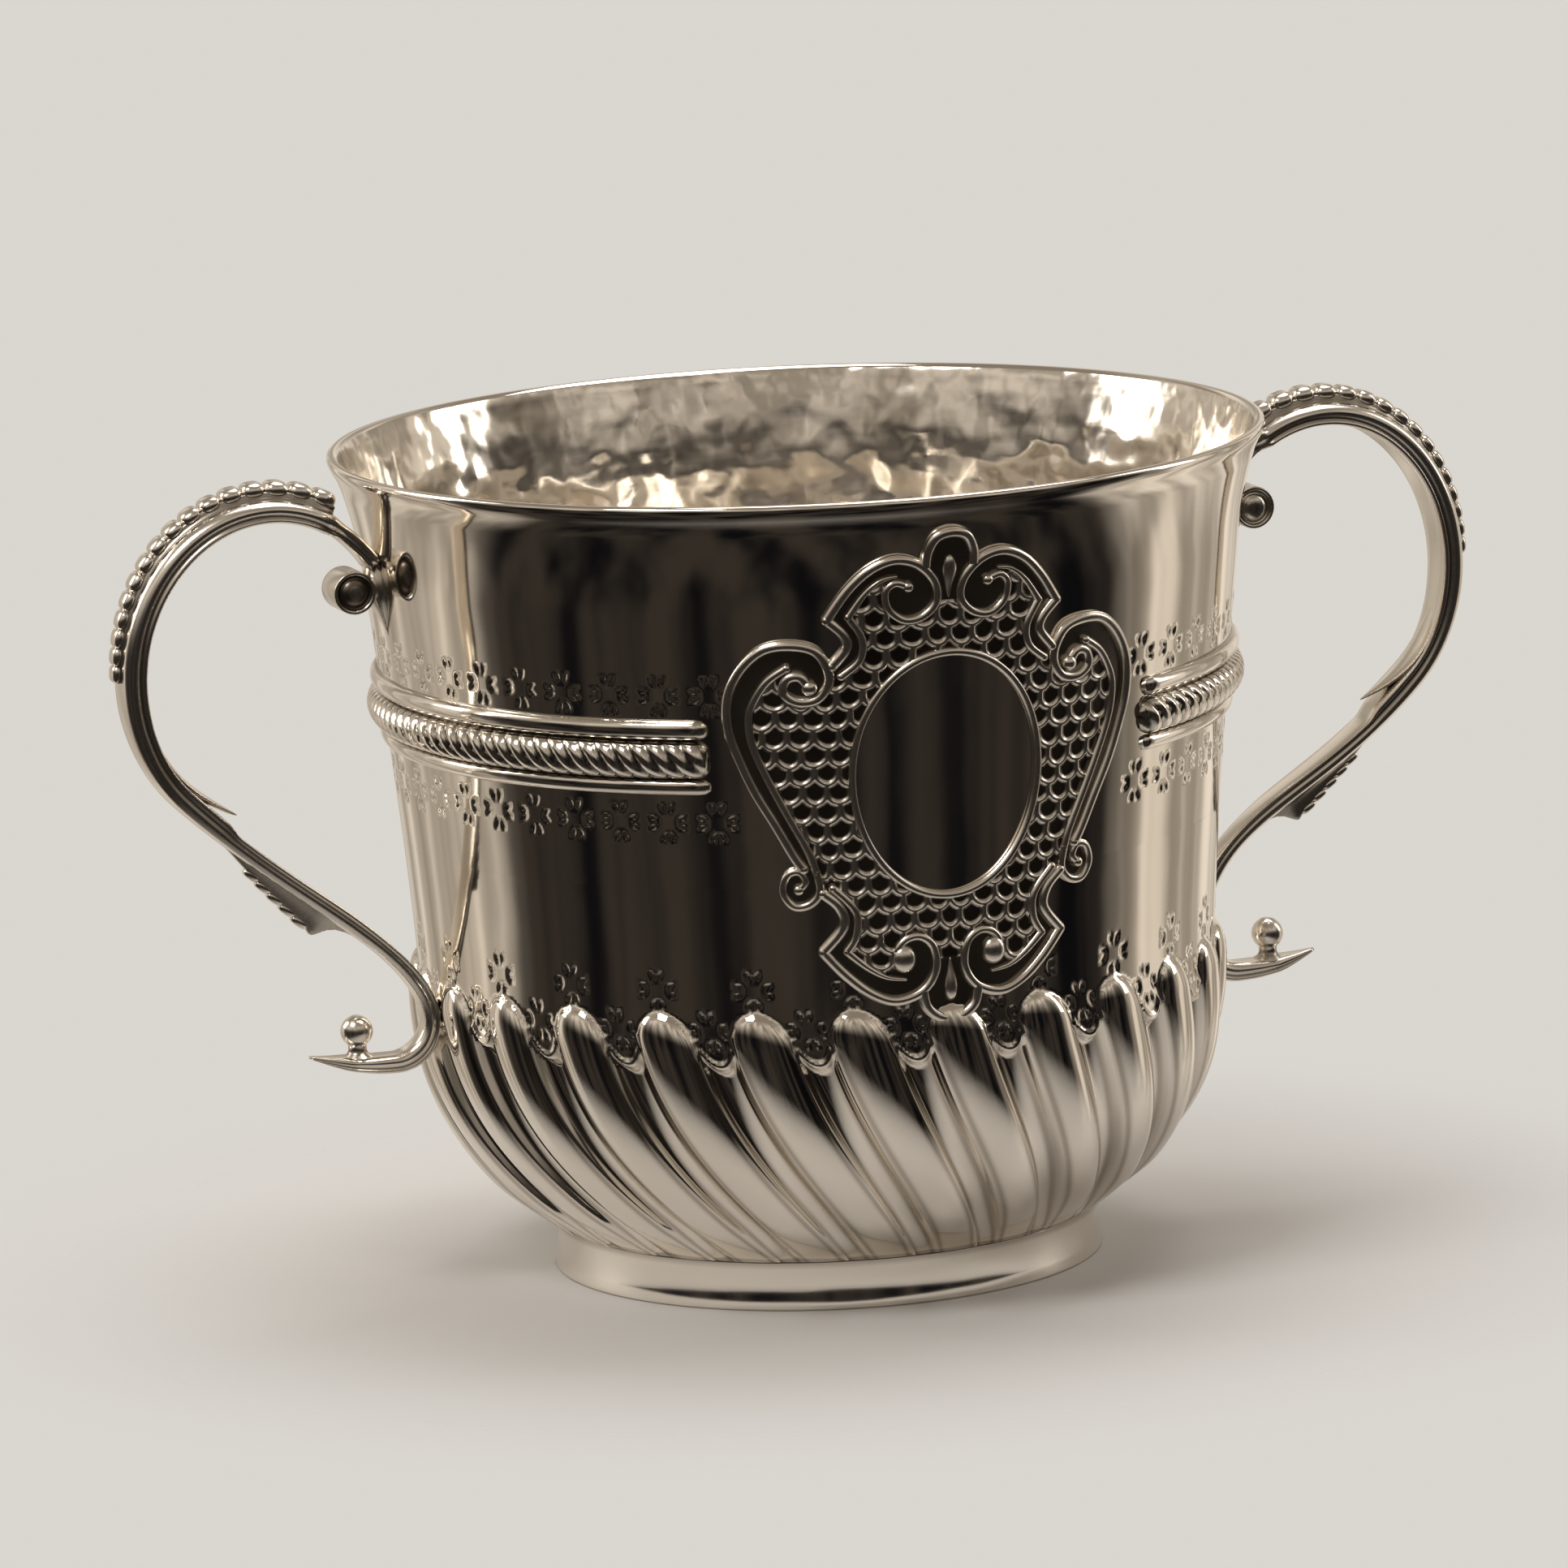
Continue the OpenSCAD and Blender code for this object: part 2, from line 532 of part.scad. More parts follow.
// Volute under the upper joint, with a pointed drop that lies down the wall
module volute() {
    foot = seat_ring(first_u)[0];
    below_strap = 0.4;
    joint = [foot[0], foot[2] - below_strap];
    mid = joint + [1.5 * volute_r, 0.2 * volute_r];
    drop_w = volute_w * 0.7;
    drop_h = 2 * volute_r;
    drop_t = volute_r / 3;
    inside = 4;
    difference() {
        union() {
            translate([mid[0], volute_w / 2, mid[1]]) rotate([90, 0, 0]) cylinder(volute_w, r = volute_r);
            translate([0, drop_w / 2, 0]) rotate([90, 0, 0]) linear_extrude(drop_w) polygon([
                joint - [inside, 0],
                joint + [0.6 * volute_r, 0],
                mid,
                mid - [0.3 * volute_r, 0.8 * volute_r],
                joint + [drop_t, -drop_h],
                joint - [inside, drop_h]
            ]);
        }
        rotate_extrude() polygon(concat(
            [[0, joint[1] - 2 * drop_h], [0, joint[1] + drop_h]],
            [for (z = [1, 0, -1, -2]) [wall_r(joint[1] + z * drop_h) + seat_gap, joint[1] + z * drop_h]]));
    }
}

// Ball on a flared neck, turned about a line through its seat on the leaf
module ball() {
    u = 3.43;
    flare_share = 0.95;
    waist_share = 0.58;
    seat = path(u) + [0, strap_thick(u) / 2 + seat_gap];
    mid_z = seat[1] + ball_neck_h + ball_r;
    translate([seat[0], 0, 0]) rotate_extrude() intersection() {
        union() {
            translate([0, mid_z]) circle(ball_r);
            polygon([
                [0, seat[1]],
                [ball_r * flare_share, seat[1]],
                [ball_r * waist_share, seat[1] + ball_neck_h * waist_share],
                [ball_r * waist_share, mid_z - ball_r * waist_share],
                [0, mid_z]
            ]);
        }
        translate([0, seat[1] - ball_r]) square([2 * ball_r, mid_z + 2 * ball_r]);
    }
}

module right_handle() { color(silver) handle(); }
module right_bead_strip() { color(bright_silver) bead_strip(); }
module right_lower_bead_strip() { color(bright_silver) lower_bead_strip(); }
module right_volute() { color(dark_silver) volute(); }
module right_ball() { color(bright_silver) ball(); }
module left_handle() { mirror([1, 0, 0]) right_handle(); }
module left_bead_strip() { mirror([1, 0, 0]) right_bead_strip(); }
module left_lower_bead_strip() { mirror([1, 0, 0]) right_lower_bead_strip(); }
module left_volute() { mirror([1, 0, 0]) right_volute(); }
module left_ball() { mirror([1, 0, 0]) right_ball(); }

bowl();
foot_ring();
girdle_upper_reed();
girdle_cord();
girdle_lower_reed();
cartouche_frame();
oval_border();
left_handle();
left_bead_strip();
left_lower_bead_strip();
left_volute();
left_ball();
right_handle();
right_bead_strip();
right_lower_bead_strip();
right_volute();
right_ball();
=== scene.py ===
import math
import bmesh
import bpy
from mathutils import Matrix, Vector, noise


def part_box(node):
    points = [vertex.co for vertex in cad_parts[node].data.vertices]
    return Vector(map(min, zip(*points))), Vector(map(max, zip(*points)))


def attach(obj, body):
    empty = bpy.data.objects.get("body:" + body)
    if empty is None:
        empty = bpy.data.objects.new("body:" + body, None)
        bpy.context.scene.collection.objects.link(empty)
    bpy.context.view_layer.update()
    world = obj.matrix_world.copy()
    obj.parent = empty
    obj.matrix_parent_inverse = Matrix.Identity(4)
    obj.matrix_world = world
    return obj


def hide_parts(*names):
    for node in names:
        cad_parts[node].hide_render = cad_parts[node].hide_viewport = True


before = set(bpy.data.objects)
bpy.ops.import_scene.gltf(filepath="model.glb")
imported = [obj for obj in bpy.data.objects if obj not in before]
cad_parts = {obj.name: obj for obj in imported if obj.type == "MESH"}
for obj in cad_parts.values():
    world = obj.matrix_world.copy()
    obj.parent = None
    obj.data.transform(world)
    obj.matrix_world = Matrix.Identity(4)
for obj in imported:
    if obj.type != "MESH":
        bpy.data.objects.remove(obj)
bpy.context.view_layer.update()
mm = 0.001
print("frame loaded:", len(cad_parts), "nodes")

# sizes below are in millimetres and angles in degrees, and a mesh is scaled to metres when it is finished
cup = {
    "height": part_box("bowl")[1].z / mm,
    "rimRadius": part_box("bowl")[1].y / mm,
    "footHeight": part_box("foot_ring")[1].z / mm,
    "footRadius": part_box("foot_ring")[1].x / mm,
    "bellyRadius": 54.2,
    "baseRadius": 37.8,
    "wallLean": 5.2,  # outwards, from the belly up to the flare
    "leanPower": 1.25,
    "bowlRound": 2.6,  # higher turns in more sharply above the foot
    "flareHeight": 15.0,
    "wallThick": 1.2,
    "floorThick": 1.4,
    "lobeTop": 44.0,
    "front": -90.0,
    "arcRadius": 57.0,  # mean wall, for distances round it
}
cup["bellyZ"] = cup["lobeTop"] - 2
cup["flareZ"] = cup["height"] - cup["flareHeight"]
aboutAxis = {"cent": (0, 0, 0), "axis": (0, 0, 1), "dvec": (0, 0, 0)}


def smoothStep(x):
    x = min(1.0, max(0.0, x))
    return x * x * (3 - 2 * x)


def bell(x, width):
    return math.exp(-(x / width) ** 2)


def mix(a, b, t):
    return a + (b - a) * t


def evenly(a, b, count):  # both ends are in
    return [mix(a, b, i / count) for i in range(count + 1)]


def lookup(table, x):  # straight lines between the table's pairs
    for (x0, y0), (x1, y1) in zip(table, table[1:]):
        if x <= x1:
            return mix(y0, y1, max(0.0, x - x0) / (x1 - x0))
    return table[-1][1]


def leanAt(z):
    share = max(0.0, z - cup["bellyZ"]) / (cup["flareZ"] - cup["bellyZ"])
    return cup["wallLean"] * share ** cup["leanPower"]


def wallRadius(z):  # outside of the plain wall
    if z < cup["bellyZ"]:
        share = (cup["bellyZ"] - max(z, cup["footHeight"])) / (cup["bellyZ"] - cup["footHeight"])
        return cup["bellyRadius"] - (cup["bellyRadius"] - cup["baseRadius"]) * share ** cup["bowlRound"]
    z = min(z, cup["height"])
    lip = cup["rimRadius"] - cup["bellyRadius"] - leanAt(cup["height"])
    return cup["bellyRadius"] + leanAt(z) + lip * (max(0.0, z - cup["flareZ"]) / cup["flareHeight"]) ** 2


def wallTilt(z, step=0.1):  # outward lean of the wall at z, as run over rise
    return (wallRadius(z + step) - wallRadius(z - step)) / (2 * step)


def offWall(z, out):  # radius and height of a place that stands off the wall, square to it
    tilt = wallTilt(z)
    flat = 1 / math.sqrt(1 + tilt * tilt)
    return wallRadius(z) + out * flat, z - out * tilt * flat


def onWall(s, z, out):  # s runs round the wall from the front
    angle = math.radians(cup["front"]) + s / cup["arcRadius"]
    radius, height = offWall(z, out)
    return Vector((radius * math.cos(angle), radius * math.sin(angle), height))


def drawLine(bm, line, closed=False):  # pairs of radius and height, joined by edges
    verts = [bm.verts.new((radius, 0, z)) for radius, z in line]
    for a, b in zip(verts, verts[1:] + verts[:1] if closed else verts[1:]):
        bm.edges.new((a, b))
    return verts


def spinSectors(bm, angle, perSector, sectors):  # one sector is spun from the line, the others copy it
    sector = angle / sectors
    bmesh.ops.spin(bm, geom=bm.verts[:] + bm.edges[:], angle=sector, steps=perSector,
                   use_merge=False, use_duplicate=False, **aboutAxis)
    bmesh.ops.spin(bm, geom=bm.verts[:] + bm.edges[:] + bm.faces[:], angle=sector * (sectors - 1),
                   steps=sectors - 1, use_merge=False, use_duplicate=True, **aboutAxis)
    bmesh.ops.remove_doubles(bm, verts=bm.verts, dist=0.002)


def spinFull(line, steps, closed):
    bm = bmesh.new()
    drawLine(bm, line, closed)
    bmesh.ops.spin(bm, geom=bm.verts[:] + bm.edges[:], angle=2 * math.pi, steps=steps,
                   use_merge=True, use_duplicate=False, **aboutAxis)
    bmesh.ops.remove_doubles(bm, verts=bm.verts, dist=1e-4)
    bmesh.ops.recalc_face_normals(bm, faces=bm.faces)
    return bm


def recessLayer(bm):  # 1 where painted shade darkens the silver, read by the materials
    return bm.verts.layers.float.new("recess")


def finishPiece(name, bm, finish, node):
    bmesh.ops.scale(bm, vec=(mm, mm, mm), verts=bm.verts)
    mesh = bpy.data.meshes.new(name)
    bm.to_mesh(mesh)
    bm.free()
    mesh.materials.append(silvers[finish])
    mesh.polygons.foreach_set("use_smooth", [True] * len(mesh.polygons))
    piece = bpy.data.objects.new(name, mesh)
    bpy.context.scene.collection.objects.link(piece)
    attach(piece, "root")
    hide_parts(node)
    print(name, len(mesh.polygons), "faces")


# materials

finishes = {
    "body": {"slot": "silver_body", "color": (0.92, 0.865, 0.785, 1), "dark": (0.20, 0.15, 0.10, 1),
             "smooth": 0.05, "rough": 0.13, "wave": 0.10, "waveSize": 90.0, "marks": 0.0},
    "inside": {"slot": "silver_body", "color": (0.92, 0.865, 0.785, 1), "dark": (0.36, 0.28, 0.18, 1),
               "smooth": 0.09, "rough": 0.22, "wave": 0.42, "waveSize": 250.0, "marks": 0.7},
    "chased": {"slot": "silver_chased", "color": (0.92, 0.868, 0.79, 1), "dark": (0.10, 0.075, 0.055, 1),
               "smooth": 0.09, "rough": 0.20, "wave": 0.12, "waveSize": 240.0, "marks": 0.0},
    "frame": {"slot": "silver_chased", "color": (0.92, 0.868, 0.79, 1), "dark": (0.10, 0.075, 0.055, 1),
              "smooth": 0.23, "rough": 0.28, "wave": 0.12, "waveSize": 240.0, "marks": 0.0},
    "cast": {"slot": "silver_cast", "color": (0.90, 0.85, 0.775, 1), "dark": (0.11, 0.085, 0.06, 1),
             "smooth": 0.17, "rough": 0.32, "wave": 0.03, "waveSize": 260.0, "marks": 0.0},
}
wearAndShade = {  # textures count repeats per metre, the rest are shares, and the bump's depth is in metres
    "patches": 38.0, "rubbing": 900.0, "hairs": (260.0, 260.0, 2600.0), "hammer": 170.0, "hammerSoft": 0.35,
    # the first two set the painted shade in recesses and how unevenly it lies
    "paintedShade": 0.8, "shadePatches": 0.3, "hazeFrom": 0.42, "haze": 0.22, "spots": 1.6,
    "grainRough": 0.55, "stainRough": 0.9, "dents": 1.5, "grainBump": 0.02, "bumpDepth": 0.0006,
}


def emptyTree(holder):  # a material's or world's nodes, without the default ones
    holder.use_nodes = True
    holder.node_tree.nodes.clear()
    return holder.node_tree


def addNode(tree, kind, inputs=None, **settings):  # an input is a plain value or another node's output
    node = tree.nodes.new("ShaderNode" + kind)
    for label, value in settings.items():
        setattr(node, label, value)
    for label, value in (inputs or {}).items():
        if isinstance(value, bpy.types.NodeSocket):
            tree.links.new(value, node.inputs[label])
        else:
            node.inputs[label].default_value = value
    return node


def blend(tree, share, a, b):
    return addNode(tree, "Mix", {"Factor": share, "A": a, "B": b}, data_type="RGBA").outputs["Result"]


def ramp(tree, value, low, high):
    inputs = {"Value": value, "From Min": low, "From Max": high}
    return addNode(tree, "MapRange", inputs, interpolation_type="SMOOTHSTEP").outputs["Result"]


def silverGroup():  # colour, roughness and height of worn silver, with painted shade where the recess mask is high
    group = bpy.data.node_groups.new("wornShadedSilver", "ShaderNodeTree")
    takes = {"Point": "Vector", "Recess": "Float", "Bright": "Color", "Dark": "Color", "Smooth": "Float",
             "Rough": "Float", "Wave Size": "Float", "Marks": "Float"}
    gives = {"Color": "Color", "Roughness": "Float", "Height": "Float"}
    for way, sockets in (("INPUT", takes), ("OUTPUT", gives)):
        for label, kind in sockets.items():
            group.interface.new_socket(label, in_out=way, socket_type="NodeSocket" + kind)
    given = group.nodes.new("NodeGroupInput").outputs
    result = group.nodes.new("NodeGroupOutput").inputs
    point = given["Point"]

    def calc(kind, a, b, clamp=False):
        return addNode(group, "Math", {0: a, 1: b}, operation=kind, use_clamp=clamp).outputs[0]

    def times(a, b, clamp=False):
        return calc("MULTIPLY", a, b, clamp)

    def plus(a, b, clamp=False):
        return calc("ADD", a, b, clamp)

    def cloud(place, scale, detail, rough):
        inputs = {"Vector": place, "Scale": scale, "Detail": detail, "Roughness": rough}
        return addNode(group, "TexNoise", inputs).outputs["Fac"]

    stretch = addNode(group, "Mapping", {"Vector": point, "Scale": wearAndShade["hairs"]}).outputs["Vector"]
    patches = cloud(point, wearAndShade["patches"], 4.0, 0.6)  # hazy, where polish has worn unevenly
    rubbing = cloud(point, wearAndShade["rubbing"], 5.0, 0.65)
    hairs = cloud(stretch, 1.0, 2.0, 0.5)  # fine lines that run round the cup
    swell = cloud(point, given["Wave Size"], 1.0, 0.4)  # slow swell left by the hammer
    planish = {"Vector": point, "Scale": wearAndShade["hammer"], "Smoothness": wearAndShade["hammerSoft"]}
    hammer = addNode(group, "TexVoronoi", planish, feature="SMOOTH_F1").outputs["Distance"]

    # painted shade in the recesses, uneven in patches
    paintedShade = times(given["Recess"], plus(wearAndShade["paintedShade"], times(patches, wearAndShade["shadePatches"])), True)
    haze = calc("SUBTRACT", patches, wearAndShade["hazeFrom"], True)
    spots = times(times(haze, given["Marks"]), wearAndShade["spots"])
    # painted shade together with real haze and spots
    shadeAndStain = plus(paintedShade, plus(times(haze, wearAndShade["haze"]), spots), True)
    grain = plus(times(rubbing, 0.5), times(hairs, 0.5))
    dull = plus(times(grain, wearAndShade["grainRough"]), times(shadeAndStain, wearAndShade["stainRough"]), True)
    span = calc("SUBTRACT", given["Rough"], given["Smooth"])
    dents = times(times(hammer, given["Marks"]), wearAndShade["dents"])
    height = plus(plus(swell, dents), times(grain, wearAndShade["grainBump"]))
    group.links.new(blend(group, shadeAndStain, given["Bright"], given["Dark"]), result["Color"])
    group.links.new(plus(given["Smooth"], times(span, dull)), result["Roughness"])
    group.links.new(height, result["Height"])
    return group


def silver(name, finish):
    material = bpy.data.materials.new(name)
    tree = emptyTree(material)
    place = addNode(tree, "TexCoord").outputs["Object"]
    recess = addNode(tree, "Attribute", attribute_name="recess").outputs["Fac"]
    given = {"Point": place, "Recess": recess, "Bright": finish["color"], "Dark": finish["dark"],
             "Smooth": finish["smooth"], "Rough": finish["rough"], "Wave Size": finish["waveSize"],
             "Marks": finish["marks"]}
    wornAndShaded = addNode(tree, "Group", given, node_tree=silverNodes).outputs
    depth = {"Strength": finish["wave"], "Distance": wearAndShade["bumpDepth"], "Height": wornAndShaded["Height"]}
    bump = addNode(tree, "Bump", depth).outputs["Normal"]
    look = {"Metallic": 1.0, "Base Color": wornAndShaded["Color"], "Roughness": wornAndShaded["Roughness"], "Normal": bump}
    shader = addNode(tree, "BsdfPrincipled", look).outputs["BSDF"]
    addNode(tree, "OutputMaterial", {"Surface": shader})
    return material


silverNodes = silverGroup()
silvers = {name: silver(name + "Silver", finish) for name, finish in finishes.items()}
print("materials made")

# bowl

bowl = {
    "lobes": 26,
    "lobeColumns": 40,
    "insideColumns": 16,
    "lobeShare": 0.625,  # of a lobe and the flute beside it
    "lobeRise": 1.6,
    "lobeFull": 0.6,  # lower is fuller
    "archHigh": 4.8,
    "fluteTop": 36.6,
    "fluteDepth": 1.3,
    "fluteFull": 1.4,
    "ledgeRise": 4.0,
    "ledgeSoft": 1.0,
    "ledgeSoftInside": 2.5,
    "ledgeLip": 0.42,
    "ledgeLipUp": 0.25,
    "ledgeLipWide": 0.55,
    "borderLip": 0.3,  # fine ridge between lobe and flute
    "borderWide": 0.4,
    "borderTop": 39.5,
    "swirl": 7.5,
    "swirlGrowth": 14.5,
    "footFade": 7.0,
    "footRelief": 0.12,  # share of the relief that is left at the foot
    "creaseAt": 0.9,  # painted shade in a crease beside each border
    "creaseWide": 0.5,
    "creaseTop": 40.0,
    "creaseShade": 0.6,
    "flowers": 52,
    "flowerColumns": 22,
    "bands": [(87.2, 31.0), (70.0, 26.5)],  # height, and half the width left clear at the front
    "petalOut": 1.95,
    "petalLong": 0.85,
    "petalApart": 0.55,
    "petalWide": 0.34,
    "petalLean": 27.0,
    "petalDepth": 0.3,
    "petalShade": 0.2,
    "sprigZ": 47.1,
    "valleyZ": 41.6,
    "swell": 0.04,
    "swellScale": 0.05,
    "rippleScale": 0.16,
    "rippleShare": 0.35,
    "planish": 0.36,
    "planishWide": 7.5,
    "planishHigh": 4.6,
    "lowerRows": [(33, 1.3), (50.6, 0.42), (61.0, 2.6)],  # how far up, and the step on the way
    "upperRows": [(66.6, 2.3), (73.4, 0.34), (83.8, 3.4), (90.6, 0.34)],
    "flareRow": 1.8,
    "lipRow": 1.2,
    "insideRows": [(72, 1.25), (46, 3.0), (11.5, 1.8)],  # from the lip down
    "lip": [(0.66, 2.2), (0.28, 1.5), (0.04, 0.9), (0.06, 0.4), (0.34, 0.08), (0.75, 0.0), (1.15, 0.12),
            (1.5, 0.5)],  # in from the rim and down from the top
    "insideLip": [(1.5, 0.5), (1.85, 1.2)],
    "insideCorner": [(37.2, 9.7), (35.4, 8.7)],
    "insideFloor": [32.0, 20.0, 0.0],
}
bowl["pitch"] = 360.0 / bowl["lobes"]
bowl["splitZ"] = bowl["lowerRows"][-1][0]


def edgeTurn(u):  # degrees to the nearest border between lobe and flute
    return min(u, abs(u - bowl["lobeShare"]), 1 - u) * bowl["pitch"]


def lobeRelief(u, z, sharp):  # u runs over one lobe and the flute beside it, and only the outside is sharp
    fade = mix(bowl["footRelief"], 1.0, smoothStep((z - cup["footHeight"]) / bowl["footFade"]))
    share = bowl["lobeShare"]
    border = lip = 0.0
    if sharp:
        edge = edgeTurn(u) * math.pi / 180 * wallRadius(z)
        border = bowl["borderLip"] * bell(edge, bowl["borderWide"]) * smoothStep((bowl["borderTop"] - z) / 2)
    if u <= share:
        across = 2 * u / share - 1
        above = max(0.0, z - cup["lobeTop"] + bowl["archHigh"]) / bowl["archHigh"]
        swollen = max(0.0, 1 - across * across - above * above) ** bowl["lobeFull"]
        return fade * (border + bowl["lobeRise"] * swollen)
    across = (2 * u - share - 1) / (1 - share)
    curve = math.sqrt(max(0.0, 1 - across * across))
    ledge = bowl["fluteTop"] + bowl["ledgeRise"] * (1 - curve)
    if sharp:
        lip = bowl["ledgeLip"] * bell(z - ledge - bowl["ledgeLipUp"], bowl["ledgeLipWide"])
    sink = smoothStep((ledge - z) / bowl["ledgeSoft" if sharp else "ledgeSoftInside"])
    return fade * (border + lip - bowl["fluteDepth"] * sink * curve ** bowl["fluteFull"])


def swirlAt(z):
    share = max(0.0, cup["lobeTop"] - z) / (cup["lobeTop"] - cup["footHeight"])
    return share * (bowl["swirl"] + bowl["swirlGrowth"] * share)


def flower(x, z):  # depth of four stamped leaves, each two strokes that part outwards
    out = max(abs(x), abs(z)) - bowl["petalOut"]
    off = min(abs(x), abs(z)) - bowl["petalApart"]
    lean = math.radians(bowl["petalLean"])
    along = (out * math.cos(lean) + off * math.sin(lean)) / bowl["petalLong"]
    beside = (off * math.cos(lean) - out * math.sin(lean)) / bowl["petalWide"]
    return max(0.0, 1 - along * along - beside * beside) ** 0.7


def bandStamp(turn, z):  # turn is the angle from the front
    around = wallRadius(z) * math.pi / 180
    step = 360.0 / bowl["flowers"]
    middle = (math.floor(turn / step) + 0.5) * step
    depth = 0.0
    for band, clear in bowl["bands"]:
        if abs(middle) * around > clear:
            depth += flower((turn - middle) * around, z - band)
    return depth


def lobeStamp(u, z):  # flowers above each lobe and in each valley
    share = bowl["lobeShare"]
    width = bowl["pitch"] * math.pi / 180 * wallRadius(z)
    overLobe = flower((u - share / 2) * width, z - bowl["sprigZ"])
    return max(overLobe, flower((u - (1 + share) / 2) * width, z - bowl["valleyZ"]))


def rowHeights(z, rows):
    heights = []
    for end, step in rows:
        heights += evenly(z, end, max(1, round(abs(end - z) / step)))[:-1]
        z = end
    return heights


def spinSheet(line, perSector, sectors):
    bm = bmesh.new()
    drawLine(bm, line)
    spinSectors(bm, 2 * math.pi, perSector, sectors)
    bmesh.ops.recalc_face_normals(bm, faces=bm.faces)
    return bm


def columnOf(v, columns):
    return round(math.atan2(v.co.y, v.co.x) / (2 * math.pi) * columns) % columns


def lobeTurn(column, columns, z):  # a lobe is centred on the front
    start = cup["front"] - bowl["pitch"] * bowl["lobeShare"] / 2
    return start + column * 360 / columns + swirlAt(z)


def turnTo(v, radius, turn):
    turn = math.radians(turn)
    v.co = Vector((radius * math.cos(turn), radius * math.sin(turn), v.co.z))


def swellAt(place):  # slow unevenness of a sheet raised by hand
    ripple = bowl["rippleShare"] * noise.noise(place * bowl["rippleScale"])
    return bowl["swell"] * (noise.noise(place * bowl["swellScale"]) + ripple)


def makeLowerSheet():
    foot, split, base = cup["footHeight"], bowl["splitZ"], cup["baseRadius"]
    heights = rowHeights(foot + 0.02, bowl["lowerRows"]) + [split - 0.5, split]
    line = [(0.0, foot), (base - 4, foot)] + [(wallRadius(z), z) for z in heights]
    bm = spinSheet(line, bowl["lobeColumns"], bowl["lobes"])
    recess = recessLayer(bm)
    columns = bowl["lobes"] * bowl["lobeColumns"]
    for v in bm.verts:
        z = v.co.z
        radius = math.hypot(v.co.x, v.co.y)
        if radius < base - 1:
            continue
        column = columnOf(v, columns)
        u = column / bowl["lobeColumns"] % 1
        mark = lobeStamp(u, z)
        # painted shade along each crease beside a border
        crease = bell(edgeTurn(u) - bowl["creaseAt"], bowl["creaseWide"])
        crease *= smoothStep((bowl["creaseTop"] - z) / 3)
        # painted shade in the stamped petals and along the creases
        v[recess] = min(1.0, bowl["petalShade"] * mark + bowl["creaseShade"] * crease)
        swell = swellAt(v.co) * smoothStep((z - cup["lobeTop"] - 2) / 6)
        grow = lobeRelief(u, z, True) - bowl["petalDepth"] * mark + swell
        turnTo(v, radius + grow, lobeTurn(column, columns, z))
    finishPiece("bowlLobes", bm, "body", "bowl")


def makeUpperSheet():
    top, split, rim = cup["height"], bowl["splitZ"], cup["rimRadius"]
    rows = bowl["upperRows"] + [(cup["flareZ"], bowl["flareRow"]), (top - bowl["lip"][0][1], bowl["lipRow"])]
    heights = [split, split + 0.5] + rowHeights(split + 2, rows)
    line = [(wallRadius(z), z) for z in heights] + [(rim - back, top - down) for back, down in bowl["lip"]]
    bm = spinSheet(line, bowl["flowerColumns"], bowl["flowers"])
    recess = recessLayer(bm)
    columns = bowl["flowers"] * bowl["flowerColumns"]
    for v in bm.verts:
        z = v.co.z
        radius = math.hypot(v.co.x, v.co.y)
        turn = columnOf(v, columns) * 360 / columns
        mark = bandStamp((turn + 180) % 360 - 180, z)
        # painted shade in the stamped petals
        v[recess] = bowl["petalShade"] * mark
        grow = swellAt(v.co) * smoothStep((top - 2 - z) / 6) - bowl["petalDepth"] * mark
        turnTo(v, radius + grow, cup["front"] + turn)
    finishPiece("bowlWall", bm, "body", "bowl")


def makeInside():
    top, rim = cup["height"], cup["rimRadius"]
    wide, stretch = bowl["planishWide"], bowl["planishWide"] / bowl["planishHigh"]
    floorZ = cup["footHeight"] + cup["floorThick"]
    line = [(rim - back, top - down) for back, down in bowl["insideLip"]]
    line += [offWall(z, -cup["wallThick"]) for z in rowHeights(top - bowl["lip"][0][1], bowl["insideRows"])]
    line += bowl["insideCorner"] + [(radius, floorZ) for radius in bowl["insideFloor"]]
    bm = spinSheet(line, bowl["insideColumns"], bowl["lobes"])
    recessLayer(bm)
    columns = bowl["lobes"] * bowl["insideColumns"]
    for v in bm.verts:
        z = v.co.z
        radius = math.hypot(v.co.x, v.co.y)
        if radius < 1:
            continue
        column = columnOf(v, columns)
        near = noise.voronoi(Vector((v.co.x, v.co.y, z * stretch)) / wide)[0][0]
        grow = bowl["planish"] * (near - 0.4) * smoothStep((top - 2 - z) / 4)
        if z > floorZ + 2:
            grow += lobeRelief(column / bowl["insideColumns"] % 1, z, False)
        turnTo(v, radius + grow, lobeTurn(column, columns, z))
    finishPiece("bowlInside", bm, "inside", "bowl")


makeLowerSheet()
makeUpperSheet()
makeInside()

# foot ring

footRing = {
    "steps": 224,
    "lower": [(1.5, 0), (0.3, 0), (0.09, 0.08), (0, 0.3), (0.02, 0.8), (0.16, 1.8), (0.35, 3.2),
              (0.35, 4.6)],  # in from the outside and up from the lower edge
    "upper": [(0.29, 1.2), (0.15, 0.4), (0.05, 0), (1.85, 0)],  # in from the outside and down from the bowl
    "seamShade": 0.7,
    "edgeShadow": 0.5,
    "uneven": 0.0006,
}


def makeFootRing():
    radius, top = cup["footRadius"], cup["footHeight"]
    line = [(radius - back, z) for back, z in footRing["lower"]]
    line += [(radius - back, top - down) for back, down in footRing["upper"]]
    line.append((line[-1][0], top / 2))
    bm = spinFull(line, footRing["steps"], True)
    recess = recessLayer(bm)
    for v in bm.verts:
        # painted shade where the collar meets the bowl, and a painted shadow along its lower edge at the
        # floor
        seam = footRing["seamShade"] * smoothStep((v.co.z - top + 0.9) / 0.8)
        v[recess] = seam + footRing["edgeShadow"] * smoothStep((0.3 - v.co.z) / 0.3)
        v.co.xy *= 1 + footRing["uneven"] * noise.noise(v.co * 0.12)
    finishPiece("footCollar", bm, "body", "foot_ring")


makeFootRing()

# girdle

